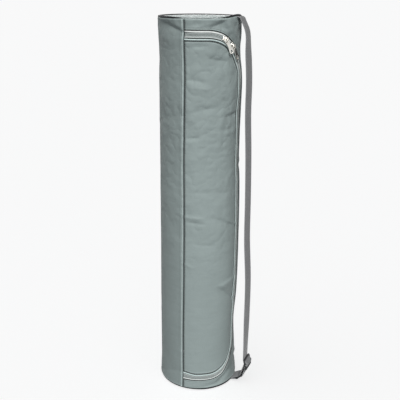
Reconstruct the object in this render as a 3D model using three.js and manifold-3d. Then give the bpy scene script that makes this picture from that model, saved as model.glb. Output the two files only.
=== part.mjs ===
// A full-zip carrying bag for a rolled yoga mat, standing on its base. The frame is in millimetres: +Z runs
// up the bag, +X points to the carrying strap, and the origin is the middle of the base. An angle is
// measured round the bag from -Y towards +X.
import * as THREE from "three";
import { mergeVertices } from "three/addons/utils/BufferGeometryUtils.js";
import Module from "manifold-3d";

// Bag
const BAG_HEIGHT = 700;
const BAG_RADIUS = 74;
const CLOTH = 1.5;
const GAP = 0.3; // clearance between two pieces that touch on the real bag
const PIPING_THICKNESS = 2.6; // of the dark seam round each end
const PANEL = 1.8; // thickness of the round end panels
const TOP_DOME = 2.2; // how far the top panel swells in the middle
const SIDES = 40; // facets round the bag
const LEAN_ANGLE = 110; // degrees: the side to which the filled bag bulges

// Lapped seam at the left of the door
const SEAM_ANGLE = 0; // degrees
const SEAM_WIDTH = 3.2;
const SEAM_HEIGHT = 1;

// Door, measured round the bag from the seam
const DOOR_WIDTH = 113;
const DOOR_BOTTOM = 34; // from the floor to the door's lower edge
const DOOR_TOP_MARGIN = 34; // from the door's upper edge to the top
const TOP_CORNER = 74; // radii of the door's free corners
const BOTTOM_CORNER = 64;
const CORNER_STEPS = 12;
const HEM_WIDTH = 3;
const HEM_RISE = 0.9;

// Zip
const ZIP_OPENING = 14; // width of tape that shows between the hem and the wall
const TAPE = 0.8;
const TAPE_OVERLAP = 4; // how far the tapes reach under the cloth
const TAPE_DROP = 0.6; // clearance between the tapes and the cloth above them
const COIL_WIDTH = 3.8;
const COIL_HEIGHT = 2;

// Sliders and pulls
const SLIDER_LENGTH = 12;
const SLIDER_WIDTH = 9;
const SLIDER_PLATE = 1.3;
const SLIDER_CLEARANCE = 0.5;
const FLANGE = 1;
const CROWN_LENGTH = 6;
const CROWN_WIDTH = 1.8;
const CROWN_THICKNESS = 1;
const PULL_LENGTH = 29;
const PULL_WIDTH = 9;
const PULL_WAIST = 6.2;
const PULL_THICKNESS = 1.5;
const PULL_BAR = 1.6;
const PULL_EYE = 5;
const PULL_RIM = 1.2; // metal beside the eye
const PULL_TAPER = 5; // length over which it narrows to its waist
const PULL_HOLE = [5.4, 2.6]; // length and width of the hole near its tip
const BEVEL = 0.3;

// Strap, its ring and its adjuster
const STRAP_WIDTH = 25;
const STRAP = 1.5; // webbing thickness
const STRAP_SLACK = 27; // the furthest that the strap stands off the bag
const STRAP_BEND = 6; // radius at which it leaves the top seam
const STRAP_STEPS = 46;
const STRAP_ROOT = 1; // straight stretch where it leaves the seam
const STRAP_JOINT = 102; // depth below the top at which its upper and lower lengths meet
const STRAP_TAIL = 1; // how far its sewn end hangs past the middle of the adjuster's middle bar
const TURN_STEP = 30; // degrees for each facet of webbing round a bar
const FITTING_BAR = 3.2;
const FITTING_SIDE = 3;
const FITTING_SLOT = 26;
const FITTING_ROUND = 0.85;
const ADJUSTER_PITCH = 9.5; // distance between the adjuster's bars
const ADJUSTER_HEIGHT = 41;
const ADJUSTER_STAND_OFF = 30.5;
const ADJUSTER_LEAN = 12; // degrees
const RING_PITCH = 11;
const RING_STAND_OFF = 13.5; // from the bag to the ring's inner bar
const RING_HEIGHT = 7.6;
const RING_LEAN = 40; // degrees above the floor
const TAB_HEIGHT = 2.1; // middle of the tab's lower layer
const TAB_PITCH = 2; // height between its two layers where they enter the seam

// Cross-sections up the bag: height as a share of BAG_HEIGHT, radius as a share of BAG_RADIUS, and how far
// the section is shifted towards LEAN_ANGLE, as a share of BAG_RADIUS.
const SECTIONS = [
  { height: 0.0, radius: 1.012, shift: 0 },
  { height: 0.012, radius: 1.014, shift: 0 },
  { height: 0.06, radius: 0.988, shift: -0.004 },
  { height: 0.16, radius: 0.992, shift: -0.002 },
  { height: 0.24, radius: 0.996, shift: 0.006 },
  { height: 0.34, radius: 1.002, shift: 0.02 },
  { height: 0.42, radius: 1.003, shift: 0.025 },
  { height: 0.5, radius: 1.001, shift: 0.026 },
  { height: 0.58, radius: 0.994, shift: 0.022 },
  { height: 0.64, radius: 0.98, shift: 0.012 },
  { height: 0.7, radius: 0.982, shift: 0.014 },
  { height: 0.77, radius: 0.989, shift: 0.019 },
  { height: 0.835, radius: 0.996, shift: 0.027 },
  { height: 0.87, radius: 0.985, shift: 0.022 },
  { height: 0.9, radius: 0.964, shift: 0.01 },
  { height: 0.925, radius: 0.961, shift: 0.002 },
  { height: 0.948, radius: 0.976, shift: 0.003 },
  { height: 0.972, radius: 0.984, shift: 0 },
  { height: 0.988, radius: 0.984, shift: 0 },
  { height: 1.0, radius: 0.97, shift: 0 },
];

// Soft dents and swells: angle and half-width in degrees, height and half-height as shares of BAG_HEIGHT,
// and depth as a share of BAG_RADIUS, below zero where the cloth swells.
const DENTS = [
  { angle: -24, height: 0.978, halfWidth: 24, halfHeight: 0.02, depth: 0.03 },
  { angle: 49, height: 0.976, halfWidth: 20, halfHeight: 0.018, depth: 0.026 },
  { angle: 20, height: 0.93, halfWidth: 22, halfHeight: 0.03, depth: -0.02 },
  { angle: 45, height: 0.86, halfWidth: 26, halfHeight: 0.05, depth: 0.018 },
  { angle: 78, height: 0.765, halfWidth: 16, halfHeight: 0.03, depth: 0.02 },
  { angle: 28, height: 0.7, halfWidth: 22, halfHeight: 0.06, depth: 0.01 },
  { angle: 12, height: 0.45, halfWidth: 16, halfHeight: 0.03, depth: 0.012 },
  { angle: 68, height: 0.28, halfWidth: 16, halfHeight: 0.03, depth: 0.016 },
  { angle: 200, height: 0.6, halfWidth: 40, halfHeight: 0.12, depth: 0.02 },
  { angle: 240, height: 0.25, halfWidth: 30, halfHeight: 0.1, depth: 0.014 },
];

// The strap's run from the top seam down to the adjuster: height as a share of BAG_HEIGHT, and its distance
// from the bag as a share of STRAP_SLACK.
const STRAP_RUN = [
  { height: 0.965, standOff: 0.41 },
  { height: 0.92, standOff: 0.5 },
  { height: 0.85, standOff: 0.64 },
  { height: 0.76, standOff: 0.645 },
  { height: 0.66, standOff: 0.775 },
  { height: 0.54, standOff: 0.83 },
  { height: 0.43, standOff: 0.85 },
  { height: 0.31, standOff: 1.0 },
  { height: 0.19, standOff: 0.99 },
  { height: 0.095, standOff: 0.965 },
];

const CLOTH_GREY = new THREE.MeshStandardMaterial({ color: 0x7f8c8b, roughness: 0.62 });
const TAPE_GREY = new THREE.MeshStandardMaterial({ color: 0x8a9494, roughness: 0.7 });
const WEBBING_GREY = new THREE.MeshStandardMaterial({ color: 0x6f7072, roughness: 0.75 });
const SEAM_BLACK = new THREE.MeshStandardMaterial({ color: 0x1d2021, roughness: 0.8 });
const PLASTIC_BLACK = new THREE.MeshStandardMaterial({ color: 0x242628, roughness: 0.45 });
const NICKEL = new THREE.MeshStandardMaterial({ color: 0xc9c8c0, roughness: 0.28, metalness: 1 });

const wasm = await Module();
wasm.setup();

const radians = THREE.MathUtils.degToRad;

// Joins and cuts

function toSolid(geometry) {
  const bare = geometry.clone();
  bare.deleteAttribute("normal");
  bare.deleteAttribute("uv");
  const merged = mergeVertices(bare, 1e-4);
  const index = [];
  for (let i = 0; i < merged.index.count; i += 3) {
    const [a, b, c] = [0, 1, 2].map((k) => merged.index.getX(i + k));
    if (a !== b && b !== c && c !== a) index.push(a, b, c);
  }
  return new wasm.Manifold(
    new wasm.Mesh({
      numProp: 3,
      vertProperties: new Float32Array(merged.attributes.position.array),
      triVerts: new Uint32Array(index),
    }),
  );
}

function toGeometry(solid) {
  const mesh = solid.getMesh();
  const geometry = new THREE.BufferGeometry();
  geometry.setAttribute("position", new THREE.BufferAttribute(mesh.vertProperties, 3));
  geometry.setIndex(new THREE.BufferAttribute(mesh.triVerts, 1));
  geometry.computeVertexNormals();
  return geometry;
}

function union(...geometries) {
  return toGeometry(geometries.map(toSolid).reduce((joined, next) => joined.add(next)));
}

// A closed surface from points and triangles, turned so that its faces point out.
function closedSurface(points, index) {
  const volume = index.reduce((sum, _, i) => {
    if (i % 3) return sum;
    const [a, b, c] = [points[index[i]], points[index[i + 1]], points[index[i + 2]]];
    return sum + a.dot(b.clone().cross(c));
  }, 0);
  const geometry = new THREE.BufferGeometry().setFromPoints(points);
  geometry.setIndex(volume < 0 ? index.toReversed() : index);
  geometry.computeVertexNormals();
  return geometry;
}

// A surface through rings of points, each with the same number of points. The first and the last ring are
// joined to each other, or else each is closed: with a fan, or across its width if its first half lies over
// its second half.
function skinned(rings, ends = "fan") {
  const count = rings[0].length;
  const index = [];
  const spans = ends === "joined" ? rings.length : rings.length - 1;
  for (let r = 0; r < spans; r += 1) {
    const here = r * count;
    const next = ((r + 1) % rings.length) * count;
    for (let k = 0; k < count; k += 1) {
      const k1 = (k + 1) % count;
      index.push(here + k, here + k1, next + k1, here + k, next + k1, next + k);
    }
  }
  if (ends !== "joined") {
    const lastRing = (rings.length - 1) * count;
    const cap = (a, b, c) => index.push(a, c, b, lastRing + a, lastRing + b, lastRing + c);
    for (let k = 1; k < count - 1 && ends === "fan"; k += 1) cap(0, k, k + 1);
    for (let k = 0; k < count / 2 - 1 && ends === "across"; k += 1) {
      cap(k, k + 1, count - 2 - k);
      cap(k, count - 2 - k, count - 1 - k);
    }
  }
  return closedSurface(rings.flat(), index);
}

// The cloth's surface

const heights = SECTIONS.map((section) => section.height * BAG_HEIGHT);
const step = 360 / SIDES;

function dentAt(angle, height) {
  let depth = 0;
  for (const dent of DENTS) {
    const across = THREE.MathUtils.euclideanModulo(angle - dent.angle + 180, 360) - 180;
    const a = across / dent.halfWidth;
    const h = (height / BAG_HEIGHT - dent.height) / dent.halfHeight;
    depth += dent.depth * BAG_RADIUS * Math.exp(-(a * a + h * h));
  }
  return depth;
}

const radiusGrid = heights.map((height, row) => {
  const endFade = Math.min(1, (BAG_HEIGHT - height) / (0.012 * BAG_HEIGHT), height / (0.012 * BAG_HEIGHT));
  return Array.from({ length: SIDES }, (_, k) => {
    const angle = SEAM_ANGLE + k * step;
    return SECTIONS[row].radius * BAG_RADIUS - endFade * dentAt(angle, height);
  });
});

function spanOf(height) {
  const clamped = THREE.MathUtils.clamp(height, heights[0], heights[heights.length - 1]);
  let row = heights.findIndex((h, i) => i < heights.length - 1 && clamped <= heights[i + 1]);
  if (row < 0) row = heights.length - 2;
  return { row, share: (clamped - heights[row]) / (heights[row + 1] - heights[row]) };
}

// A point on the cloth's outer face, or out from it by rise.
function onBag(angle, height, rise = 0) {
  const { row, share } = spanOf(height);
  const turn = THREE.MathUtils.euclideanModulo(angle - SEAM_ANGLE, 360) / step;
  const k = Math.floor(turn) % SIDES;
  const along = turn - Math.floor(turn);
  const at = (r) => THREE.MathUtils.lerp(radiusGrid[r][k], radiusGrid[r][(k + 1) % SIDES], along);
  const radius = THREE.MathUtils.lerp(at(row), at(row + 1), share) + rise;
  const shift = THREE.MathUtils.lerp(SECTIONS[row].shift, SECTIONS[row + 1].shift, share) * BAG_RADIUS;
  const a = radians(angle);
  const lean = radians(LEAN_ANGLE);
  return new THREE.Vector3(
    radius * Math.sin(a) + shift * Math.sin(lean),
    -radius * Math.cos(a) - shift * Math.cos(lean),
    height,
  );
}

// A distance round the bag from the seam, as an angle.
function angleAt(distance) {
  return SEAM_ANGLE + THREE.MathUtils.radToDeg(distance / BAG_RADIUS);
}

// The door's outline: stations along its free edge, from the top of the seam to the bottom of the seam.
// Each gives its place, at any distance out from the door's edge, as a distance round the bag and a height.

const facet = radians(step) * BAG_RADIUS;
const doorTop = BAG_HEIGHT - DOOR_TOP_MARGIN;
const cornerTop = DOOR_WIDTH - TOP_CORNER;
const cornerBottom = DOOR_WIDTH - BOTTOM_CORNER;

function levelStations(end, height, hand) {
  const count = Math.max(1, Math.round(end / facet));
  return Array.from({ length: count }, (_, k) => {
    const s = GAP + ((end - GAP) * k) / count;
    return (out) => [s, height + hand * out];
  });
}

function cornerStations(middle, height, radius, start) {
  return Array.from({ length: CORNER_STEPS + 1 }, (_, k) => {
    const a = start - ((Math.PI / 2) * k) / CORNER_STEPS;
    return (out) => [middle + (radius + out) * Math.cos(a), height + (radius + out) * Math.sin(a)];
  });
}

const topStations = levelStations(cornerTop, doorTop, 1);
const bottomStations = levelStations(cornerBottom, DOOR_BOTTOM, -1).reverse();
const sideStations = [
  ...cornerStations(cornerTop, doorTop - TOP_CORNER, TOP_CORNER, Math.PI / 2),
  ...heights
    .filter((height) => height < doorTop - TOP_CORNER - 1 && height > DOOR_BOTTOM + BOTTOM_CORNER + 1)
    .reverse()
    .map((height) => (out) => [DOOR_WIDTH + out, height]),
  ...cornerStations(cornerBottom, DOOR_BOTTOM + BOTTOM_CORNER, BOTTOM_CORNER, 0),
];

// A strip along the door's edge. Its section is a list of corners, each a distance out from the edge and a
// rise above the cloth.
function edgeStrip(section) {
  return skinned(
    [...topStations, ...sideStations, ...bottomStations].map((place) =>
      section.map(([out, rise]) => {
        const [s, h] = place(out);
        return onBag(angleAt(s), h, rise);
      }),
    ),
  );
}

// A sheet bounded by the seam and the door's outline moved out by some distance.
function doorSheet(out, low, high, left) {
  const columns = Math.round(DOOR_WIDTH / facet);
  const rings = sideStations.map((place) => {
    const [right, h] = place(out);
    const across = Array.from({ length: columns + 1 }, (_, k) => left + ((right - left) * k) / columns);
    return [
      ...across.map((s) => onBag(angleAt(s), h, high)),
      ...across.reverse().map((s) => onBag(angleAt(s), h, low)),
    ];
  });
  return skinned(rings, "across");
}

// Cloth panels

function makeWallPanel() {
  const perimeter = 2 * Math.PI * BAG_RADIUS;
  const seam = [
    { s: perimeter - SEAM_WIDTH - SEAM_HEIGHT / 2, rise: 0 },
    { s: perimeter - SEAM_WIDTH, rise: SEAM_HEIGHT },
    { s: perimeter - SEAM_HEIGHT, rise: SEAM_HEIGHT },
  ];
  const columns = [
    ...Array.from({ length: SIDES }, (_, k) => ({ angle: SEAM_ANGLE + k * step, rise: 0 })),
    ...seam.map(({ s, rise }) => ({ angle: angleAt(s), rise })),
  ];
  const low = PIPING_THICKNESS + GAP;
  const rows = [low, ...heights.slice(1, -1), BAG_HEIGHT - low];
  const outer = rows.map((h) => columns.map(({ angle, rise }) => onBag(angle, h, rise)));
  const inner = rows.map((h) => columns.map(({ angle }) => onBag(angle, h, -CLOTH)));
  const tube = skinned([...outer, ...inner.reverse()], "joined");
  const past = 4 * CLOTH; // well past both faces of the cloth
  const opening = doorSheet(ZIP_OPENING, -CLOTH - past, past, 0);
  return toGeometry(toSolid(tube).subtract(toSolid(opening)));
}

// A round panel, which swells by dome in the middle.
function makeEndPanel(low, radius, dome) {
  const swell = [1, 0.75, 0.45, 0].map((share) => [
    radius * share,
    low + PANEL + dome * Math.cos((Math.PI / 2) * share),
  ]);
  return lathe([[0, low], [radius, low], ...swell]);
}

function makePiping(low, radius) {
  const r = PIPING_THICKNESS / 2;
  const corners = 6;
  const profile = Array.from({ length: corners + 1 }, (_, k) => {
    const a = -Math.PI / 2 + (2 * Math.PI * k) / corners + Math.PI / corners;
    return [radius - r + r * Math.cos(a), low + r + (r * Math.sin(a)) / Math.cos(Math.PI / corners)];
  });
  return lathe(profile);
}

function lathe(profile) {
  const points = profile.map(([x, y]) => new THREE.Vector2(x, y));
  return new THREE.LatheGeometry(points, SIDES).rotateX(Math.PI / 2);
}

// Zip hardware

// The place on the zip's middle line at an angle down the door's top corner, with the zip's direction
// there.
function zipFrame(cornerAngle) {
  const place = (turn) => {
    const a = radians(90 - turn);
    const reach = TOP_CORNER + ZIP_OPENING / 2;
    return [cornerTop + reach * Math.cos(a), doorTop - TOP_CORNER + reach * Math.sin(a)];
  };
  const at = (turn) => {
    const [s, h] = place(turn);
    return onBag(angleAt(s), h);
  };
  const small = 2; // degrees or millimetres each way
  const along = at(cornerAngle + small).sub(at(cornerAngle - small)).normalize();
  const [s, h] = place(cornerAngle);
  const round = onBag(angleAt(s + small), h).sub(onBag(angleAt(s - small), h));
  const up = onBag(angleAt(s), h + small).sub(onBag(angleAt(s), h - small));
  const normal = round.cross(up).normalize();
  const side = normal.clone().cross(along).normalize();
  return { origin: at(cornerAngle), along: side.clone().cross(normal).normalize(), side, normal };
}

function placed(group, { origin, along, side, normal }) {
  group.position.copy(origin);
  group.quaternion.setFromRotationMatrix(new THREE.Matrix4().makeBasis(along, side, normal));
  return group;
}

const bevelled = (depth, bevel = BEVEL, curveSegments = 5) => ({
  depth: depth - 2 * bevel,
  bevelEnabled: true,
  bevelThickness: bevel,
  bevelSize: bevel,
  bevelOffset: -bevel,
  bevelSegments: 1,
  curveSegments,
});

const coilTop = COIL_HEIGHT - CLOTH - TAPE_DROP + GAP;
const plateLow = coilTop + SLIDER_CLEARANCE;
const plateTop = plateLow + SLIDER_PLATE;
const barTurning = Math.hypot(PULL_BAR, PULL_THICKNESS) / 2 + GAP;
const pullHeight = plateTop + barTurning;

function makeSlider() {
  const half = SLIDER_LENGTH / 2;
  const wide = SLIDER_WIDTH / 2;
  const outline = new THREE.Shape();
  outline.moveTo(-half, -wide * 0.78);
  outline.lineTo(half * 0.45, -wide);
  outline.quadraticCurveTo(half, -wide, half, -wide * 0.45);
  outline.lineTo(half * 0.8, 0);
  outline.lineTo(half, wide * 0.45);
  outline.quadraticCurveTo(half, wide, half * 0.45, wide);
  outline.lineTo(-half, wide * 0.78);
  outline.closePath();
  const plate = new THREE.ExtrudeGeometry(outline, bevelled(SLIDER_PLATE)).translate(0, 0, plateLow + BEVEL);
  const flangeLow = -CLOTH - TAPE_DROP + GAP;
  const flangeTall = plateLow + SLIDER_PLATE / 2 - flangeLow;
  const flanges = [-1, 1].map((hand) =>
    new THREE.BoxGeometry(SLIDER_LENGTH * 0.8, FLANGE, flangeTall).translate(
      -SLIDER_LENGTH * 0.05,
      hand * (wide * 0.78 - FLANGE / 2),
      flangeLow + flangeTall / 2,
    ),
  );
  const arch = new THREE.Shape();
  const halfCrown = CROWN_LENGTH / 2;
  const inside = halfCrown - CROWN_THICKNESS;
  const roof = pullHeight + barTurning;
  const foot = plateTop - SLIDER_PLATE / 2;
  arch.moveTo(-halfCrown, foot);
  arch.lineTo(-halfCrown, roof - CROWN_THICKNESS / 2);
  arch.quadraticCurveTo(-halfCrown, roof + CROWN_THICKNESS, -inside / 2, roof + CROWN_THICKNESS);
  arch.lineTo(inside / 2, roof + CROWN_THICKNESS);
  arch.quadraticCurveTo(halfCrown, roof + CROWN_THICKNESS, halfCrown, roof - CROWN_THICKNESS / 2);
  arch.lineTo(halfCrown, foot);
  arch.lineTo(inside, foot);
  arch.lineTo(inside, roof);
  arch.lineTo(-inside, roof);
  arch.lineTo(-inside, foot);
  arch.closePath();
  const crown = new THREE.ExtrudeGeometry(arch, { depth: CROWN_WIDTH, bevelEnabled: false, curveSegments: 4 })
    .translate(0, 0, -CROWN_WIDTH / 2)
    .rotateX(Math.PI / 2);
  return union(plate, ...flanges, crown);
}

function makePull() {
  const start = -PULL_BAR / 2;
  const head = PULL_WIDTH / 2;
  const tip = start + PULL_LENGTH - head;
  const eyeEnd = PULL_BAR / 2 + PULL_EYE;
  const outline = new THREE.Shape();
  outline.moveTo(start, -head + BEVEL);
  outline.lineTo(start + BEVEL, -head);
  outline.lineTo(eyeEnd, -head);
  outline.quadraticCurveTo(eyeEnd + PULL_TAPER / 2, -PULL_WAIST / 2, eyeEnd + PULL_TAPER, -PULL_WAIST / 2);
  outline.quadraticCurveTo(tip - PULL_TAPER, -PULL_WAIST / 2, tip, -head);
  outline.absarc(tip, 0, head, -Math.PI / 2, Math.PI / 2);
  outline.quadraticCurveTo(tip - PULL_TAPER, PULL_WAIST / 2, eyeEnd + PULL_TAPER, PULL_WAIST / 2);
  outline.quadraticCurveTo(eyeEnd + PULL_TAPER / 2, PULL_WAIST / 2, eyeEnd, head);
  outline.lineTo(start + BEVEL, head);
  outline.lineTo(start, head - BEVEL);
  outline.closePath();
  const eye = new THREE.Path();
  const eyeHalf = head - PULL_RIM;
  eye.moveTo(PULL_BAR / 2, -eyeHalf);
  eye.lineTo(PULL_BAR / 2, eyeHalf);
  eye.lineTo(eyeEnd, eyeHalf);
  eye.lineTo(eyeEnd, -eyeHalf);
  eye.closePath();
  const [holeLength, holeWidth] = PULL_HOLE;
  const hole = new THREE.Path();
  const run = (holeLength - holeWidth) / 2;
  hole.absarc(tip - run, 0, holeWidth / 2, Math.PI / 2, (3 * Math.PI) / 2);
  hole.absarc(tip + run, 0, holeWidth / 2, -Math.PI / 2, Math.PI / 2);
  hole.closePath();
  outline.holes.push(eye, hole);
  return new THREE.ExtrudeGeometry(outline, bevelled(PULL_THICKNESS)).translate(
    0,
    0,
    -PULL_THICKNESS / 2 + BEVEL,
  );
}

// Each slider's place down the door's top corner, and how far its pull is turned from the zip's direction,
// in degrees.
const SLIDERS = [
  { name: "upper", corner: 26, turned: 33 },
  { name: "lower", corner: 41, turned: 14 },
];

// The angle by which a pull tips in until it lies on the raised hem or the cloth.
function restTip({ origin, along, side, normal }, turned) {
  const way = along.clone().multiplyScalar(Math.cos(turned)).addScaledVector(side, -Math.sin(turned));
  const across = side.clone().multiplyScalar(Math.cos(turned)).addScaledVector(along, Math.sin(turned));
  const underside = pullHeight - PULL_THICKNESS / 2 - GAP;
  let tip = Math.PI / 2;
  for (let reach = 1; reach <= PULL_LENGTH; reach += 0.5) {
    for (const edge of [-PULL_WIDTH / 2, 0, PULL_WIDTH / 2]) {
      const offset = way.clone().multiplyScalar(reach).addScaledVector(across, edge);
      const overPlate =
        Math.abs(offset.dot(along)) <= SLIDER_LENGTH / 2 && Math.abs(offset.dot(side)) <= SLIDER_WIDTH / 2;
      const p = origin.clone().add(offset);
      const cloth = onBag(THREE.MathUtils.radToDeg(Math.atan2(p.x, -p.y)), p.z, HEM_RISE);
      const ground = overPlate ? plateTop : cloth.sub(origin).dot(normal);
      tip = Math.min(tip, Math.atan2(underside - ground, reach));
    }
  }
  return tip;
}

// Strap and fittings

// A frame with slots between parallel bars, such as a ring or an adjuster: its bars run along X and are
// spaced along Y.
function makeFitting(bars, pitch) {
  const wide = FITTING_SLOT / 2 + FITTING_SIDE;
  const tall = ((bars - 1) * pitch + FITTING_BAR) / 2;
  const corner = FITTING_BAR;
  const outline = new THREE.Shape();
  outline.moveTo(-wide + corner, -tall);
  outline.lineTo(wide - corner, -tall);
  outline.absarc(wide - corner, -tall + corner, corner, -Math.PI / 2, 0);
  outline.absarc(wide - corner, tall - corner, corner, 0, Math.PI / 2);
  outline.absarc(-wide + corner, tall - corner, corner, Math.PI / 2, Math.PI);
  outline.absarc(-wide + corner, -tall + corner, corner, Math.PI, 1.5 * Math.PI);
  outline.closePath();
  for (let k = 0; k < bars - 1; k += 1) {
    const low = -tall + FITTING_BAR + k * pitch;
    const slot = new THREE.Path();
    slot.moveTo(-FITTING_SLOT / 2, low);
    slot.lineTo(-FITTING_SLOT / 2, low + pitch - FITTING_BAR);
    slot.lineTo(FITTING_SLOT / 2, low + pitch - FITTING_BAR);
    slot.lineTo(FITTING_SLOT / 2, low);
    slot.closePath();
    outline.holes.push(slot);
  }
  return new THREE.ExtrudeGeometry(outline, bevelled(FITTING_BAR, FITTING_ROUND, 3)).translate(
    0,
    0,
    -FITTING_BAR / 2 + FITTING_ROUND,
  );
}

// The straight stretch of a belt between two stops.
function stretch(a, b) {
  const [ra, rb] = [a.hand * a.radius, b.hand * b.radius];
  const between = new THREE.Vector2(b.x - a.x, b.z - a.z);
  const sway = Math.asin((rb - ra) / between.length());
  const way = between.normalize().rotateAround(new THREE.Vector2(), -sway);
  const left = new THREE.Vector2(-way.y, way.x);
  return {
    left,
    from: new THREE.Vector2(a.x, a.z).addScaledVector(left, -ra),
    to: new THREE.Vector2(b.x, b.z).addScaledVector(left, -rb),
  };
}

// The webbing's middle line in the plane of X and Z, as a belt led round bars. A stop is a centre, a radius
// and which hand the bar is on, 1 for the left of the way the belt runs, and a plain point has no radius. A
// stop marked spare is left out where the belt clears it anyway.
function belt(route) {
  const stops = route.filter((stop, i) => {
    if (!stop.spare) return true;
    const straight = stretch(route[i - 1], route[i + 1]);
    const away = new THREE.Vector2(stop.x, stop.z).sub(straight.from).dot(straight.left);
    return away * stop.hand < stop.radius;
  });
  const stretches = stops.slice(1).map((stop, i) => stretch(stops[i], stop));
  const line = [stretches[0].from];
  stops.forEach((stop, i) => {
    if (i === 0) return;
    line.push(stretches[i - 1].to);
    const out = i < stretches.length ? stretches[i].from : stop.end;
    if (!stop.radius || !out) return;
    const angleOf = (p) => Math.atan2(p.y - stop.z, p.x - stop.x);
    const start = angleOf(stretches[i - 1].to);
    let turn = angleOf(out) - start;
    while (turn * stop.hand < 0) turn += stop.hand * 2 * Math.PI;
    const steps = Math.max(1, Math.ceil(Math.abs(turn) / radians(TURN_STEP)));
    for (let k = 1; k <= steps; k += 1) {
      const a = start + (turn * k) / steps;
      line.push(new THREE.Vector2(stop.x + stop.radius * Math.cos(a), stop.z + stop.radius * Math.sin(a)));
    }
  });
  return line;
}

// Webbing of the strap's width and thickness along a line in the plane of X and Z.
function webbing(line) {
  const clean = line.filter((p, i) => i === 0 || p.distanceTo(line[i - 1]) > 0.05);
  return skinned(
    clean.map((p, i) => {
      const before = clean[Math.max(0, i - 1)];
      const after = clean[Math.min(clean.length - 1, i + 1)];
      const a = i ? p.clone().sub(before).normalize() : after.clone().sub(p).normalize();
      const b = i < clean.length - 1 ? after.clone().sub(p).normalize() : a.clone();
      const d = a.clone().add(b).normalize();
      const mitre = STRAP / 2 / Math.max(0.7, d.dot(a));
      const n = new THREE.Vector2(-d.y, d.x).multiplyScalar(mitre);
      const w = STRAP_WIDTH / 2;
      return [
        new THREE.Vector3(p.x + n.x, -w, p.y + n.y),
        new THREE.Vector3(p.x + n.x, w, p.y + n.y),
        new THREE.Vector3(p.x - n.x, w, p.y - n.y),
        new THREE.Vector3(p.x - n.x, -w, p.y - n.y),
      ];
    }),
  );
}

const wrap = FITTING_BAR / 2 + GAP + STRAP / 2; // radius of the webbing's middle line round a bar
const layer = STRAP + GAP; // distance between two layers of webbing
const strapAngle = 90; // the strap lies in the plane of X and Z

const adjuster = {
  x: BAG_RADIUS + ADJUSTER_STAND_OFF,
  z: ADJUSTER_HEIGHT,
  up: new THREE.Vector2(-Math.sin(radians(ADJUSTER_LEAN)), Math.cos(radians(ADJUSTER_LEAN))),
};
const adjusterBar = (k) => ({
  x: adjuster.x + adjuster.up.x * ADJUSTER_PITCH * k,
  z: adjuster.z + adjuster.up.y * ADJUSTER_PITCH * k,
});
const ringIn = { x: BAG_RADIUS + RING_STAND_OFF, z: RING_HEIGHT };
const ringOut = {
  x: ringIn.x + RING_PITCH * Math.cos(radians(RING_LEAN)),
  z: ringIn.z + RING_PITCH * Math.sin(radians(RING_LEAN)),
};

// The strap's free run, from the top seam to the adjuster.
function freeRun() {
  const seamHeight = BAG_HEIGHT - PIPING_THICKNESS - STRAP / 2;
  const edge = onBag(strapAngle, seamHeight).x + GAP;
  const start = edge + STRAP_ROOT;
  const run = STRAP_RUN.map(({ height, standOff }) => [
    BAG_RADIUS + standOff * STRAP_SLACK,
    height * BAG_HEIGHT,
  ]);
  const bend = [0.25, 0.6, 0.9].map((share) => {
    const a = (Math.PI / 2) * share;
    return [start + STRAP_BEND * Math.sin(a), seamHeight - STRAP_BEND * (1 - Math.cos(a))];
  });
  const curve = new THREE.CatmullRomCurve3(
    [[start, seamHeight], ...bend, ...run].map(([x, z]) => new THREE.Vector3(x, 0, z)),
    false,
    "centripetal",
  );
  const free = curve.getPoints(STRAP_STEPS).map((p) => new THREE.Vector2(p.x, p.z));
  return [new THREE.Vector2(edge, seamHeight), ...free];
}

// The ends of two lengths of webbing that meet halfway between two points.
function meeting(from, to) {
  const way = to.clone().sub(from).normalize();
  const halfway = from.clone().lerp(to, 0.5);
  return [-GAP / 2, GAP / 2].map((offset) => halfway.clone().addScaledVector(way, offset));
}

// The strap in three lengths: its top, its free run as far as the stretch between the adjuster's middle and
// lower bars, and the loop from there round the ring and back to the middle bar, where its end is sewn down.
function makeStrap() {
  const middleBar = { ...adjusterBar(0), radius: wrap + layer, hand: -1 };
  const lowerBar = { ...adjusterBar(-1), radius: wrap, hand: 1 };
  const crossing = stretch(middleBar, lowerBar);
  const plainStop = (p) => ({ x: p.x, z: p.y, radius: 0, hand: 1 });
  const [runEnd, loopStart] = meeting(crossing.from, crossing.to);
  const free = freeRun();
  const last = free.pop();
  const joint = free.findIndex((p) => p.y < BAG_HEIGHT - STRAP_JOINT);
  const [topEnd, runStart] = meeting(free[joint - 1], free[joint]);
  const { up } = adjuster;
  const run = belt([
    plainStop(last),
    { ...adjusterBar(1), radius: wrap, hand: 1 },
    middleBar,
    plainStop(runEnd),
  ]);
  const loop = belt([
    plainStop(loopStart),
    lowerBar,
    { ...ringOut, radius: wrap, hand: -1 },
    { ...adjusterBar(-1), radius: wrap + layer, hand: -1, spare: true },
    {
      ...adjusterBar(0),
      radius: wrap,
      hand: -1,
      end: new THREE.Vector2(
        adjuster.x + wrap * up.y - STRAP_TAIL * up.x,
        adjuster.z - wrap * up.x - STRAP_TAIL * up.y,
      ),
    },
  ]);
  return {
    top: webbing([...free.slice(0, joint), topEnd]),
    run: webbing([runStart, ...free.slice(joint), ...run]),
    loop: webbing(loop),
  };
}

function makeTab() {
  const edge = onBag(strapAngle, TAB_HEIGHT).x + GAP;
  const line = belt([
    { x: edge, z: TAB_HEIGHT, radius: 0, hand: 1 },
    { ...ringIn, radius: wrap, hand: 1 },
    { x: edge, z: TAB_HEIGHT + TAB_PITCH, radius: 0, hand: 1 },
  ]);
  return webbing(line);
}

// Assembly

const bag = new THREE.Group();

function add(parent, name, geometry, material) {
  const mesh = new THREE.Mesh(geometry, material);
  mesh.name = name;
  parent.add(mesh);
  return mesh;
}

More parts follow.
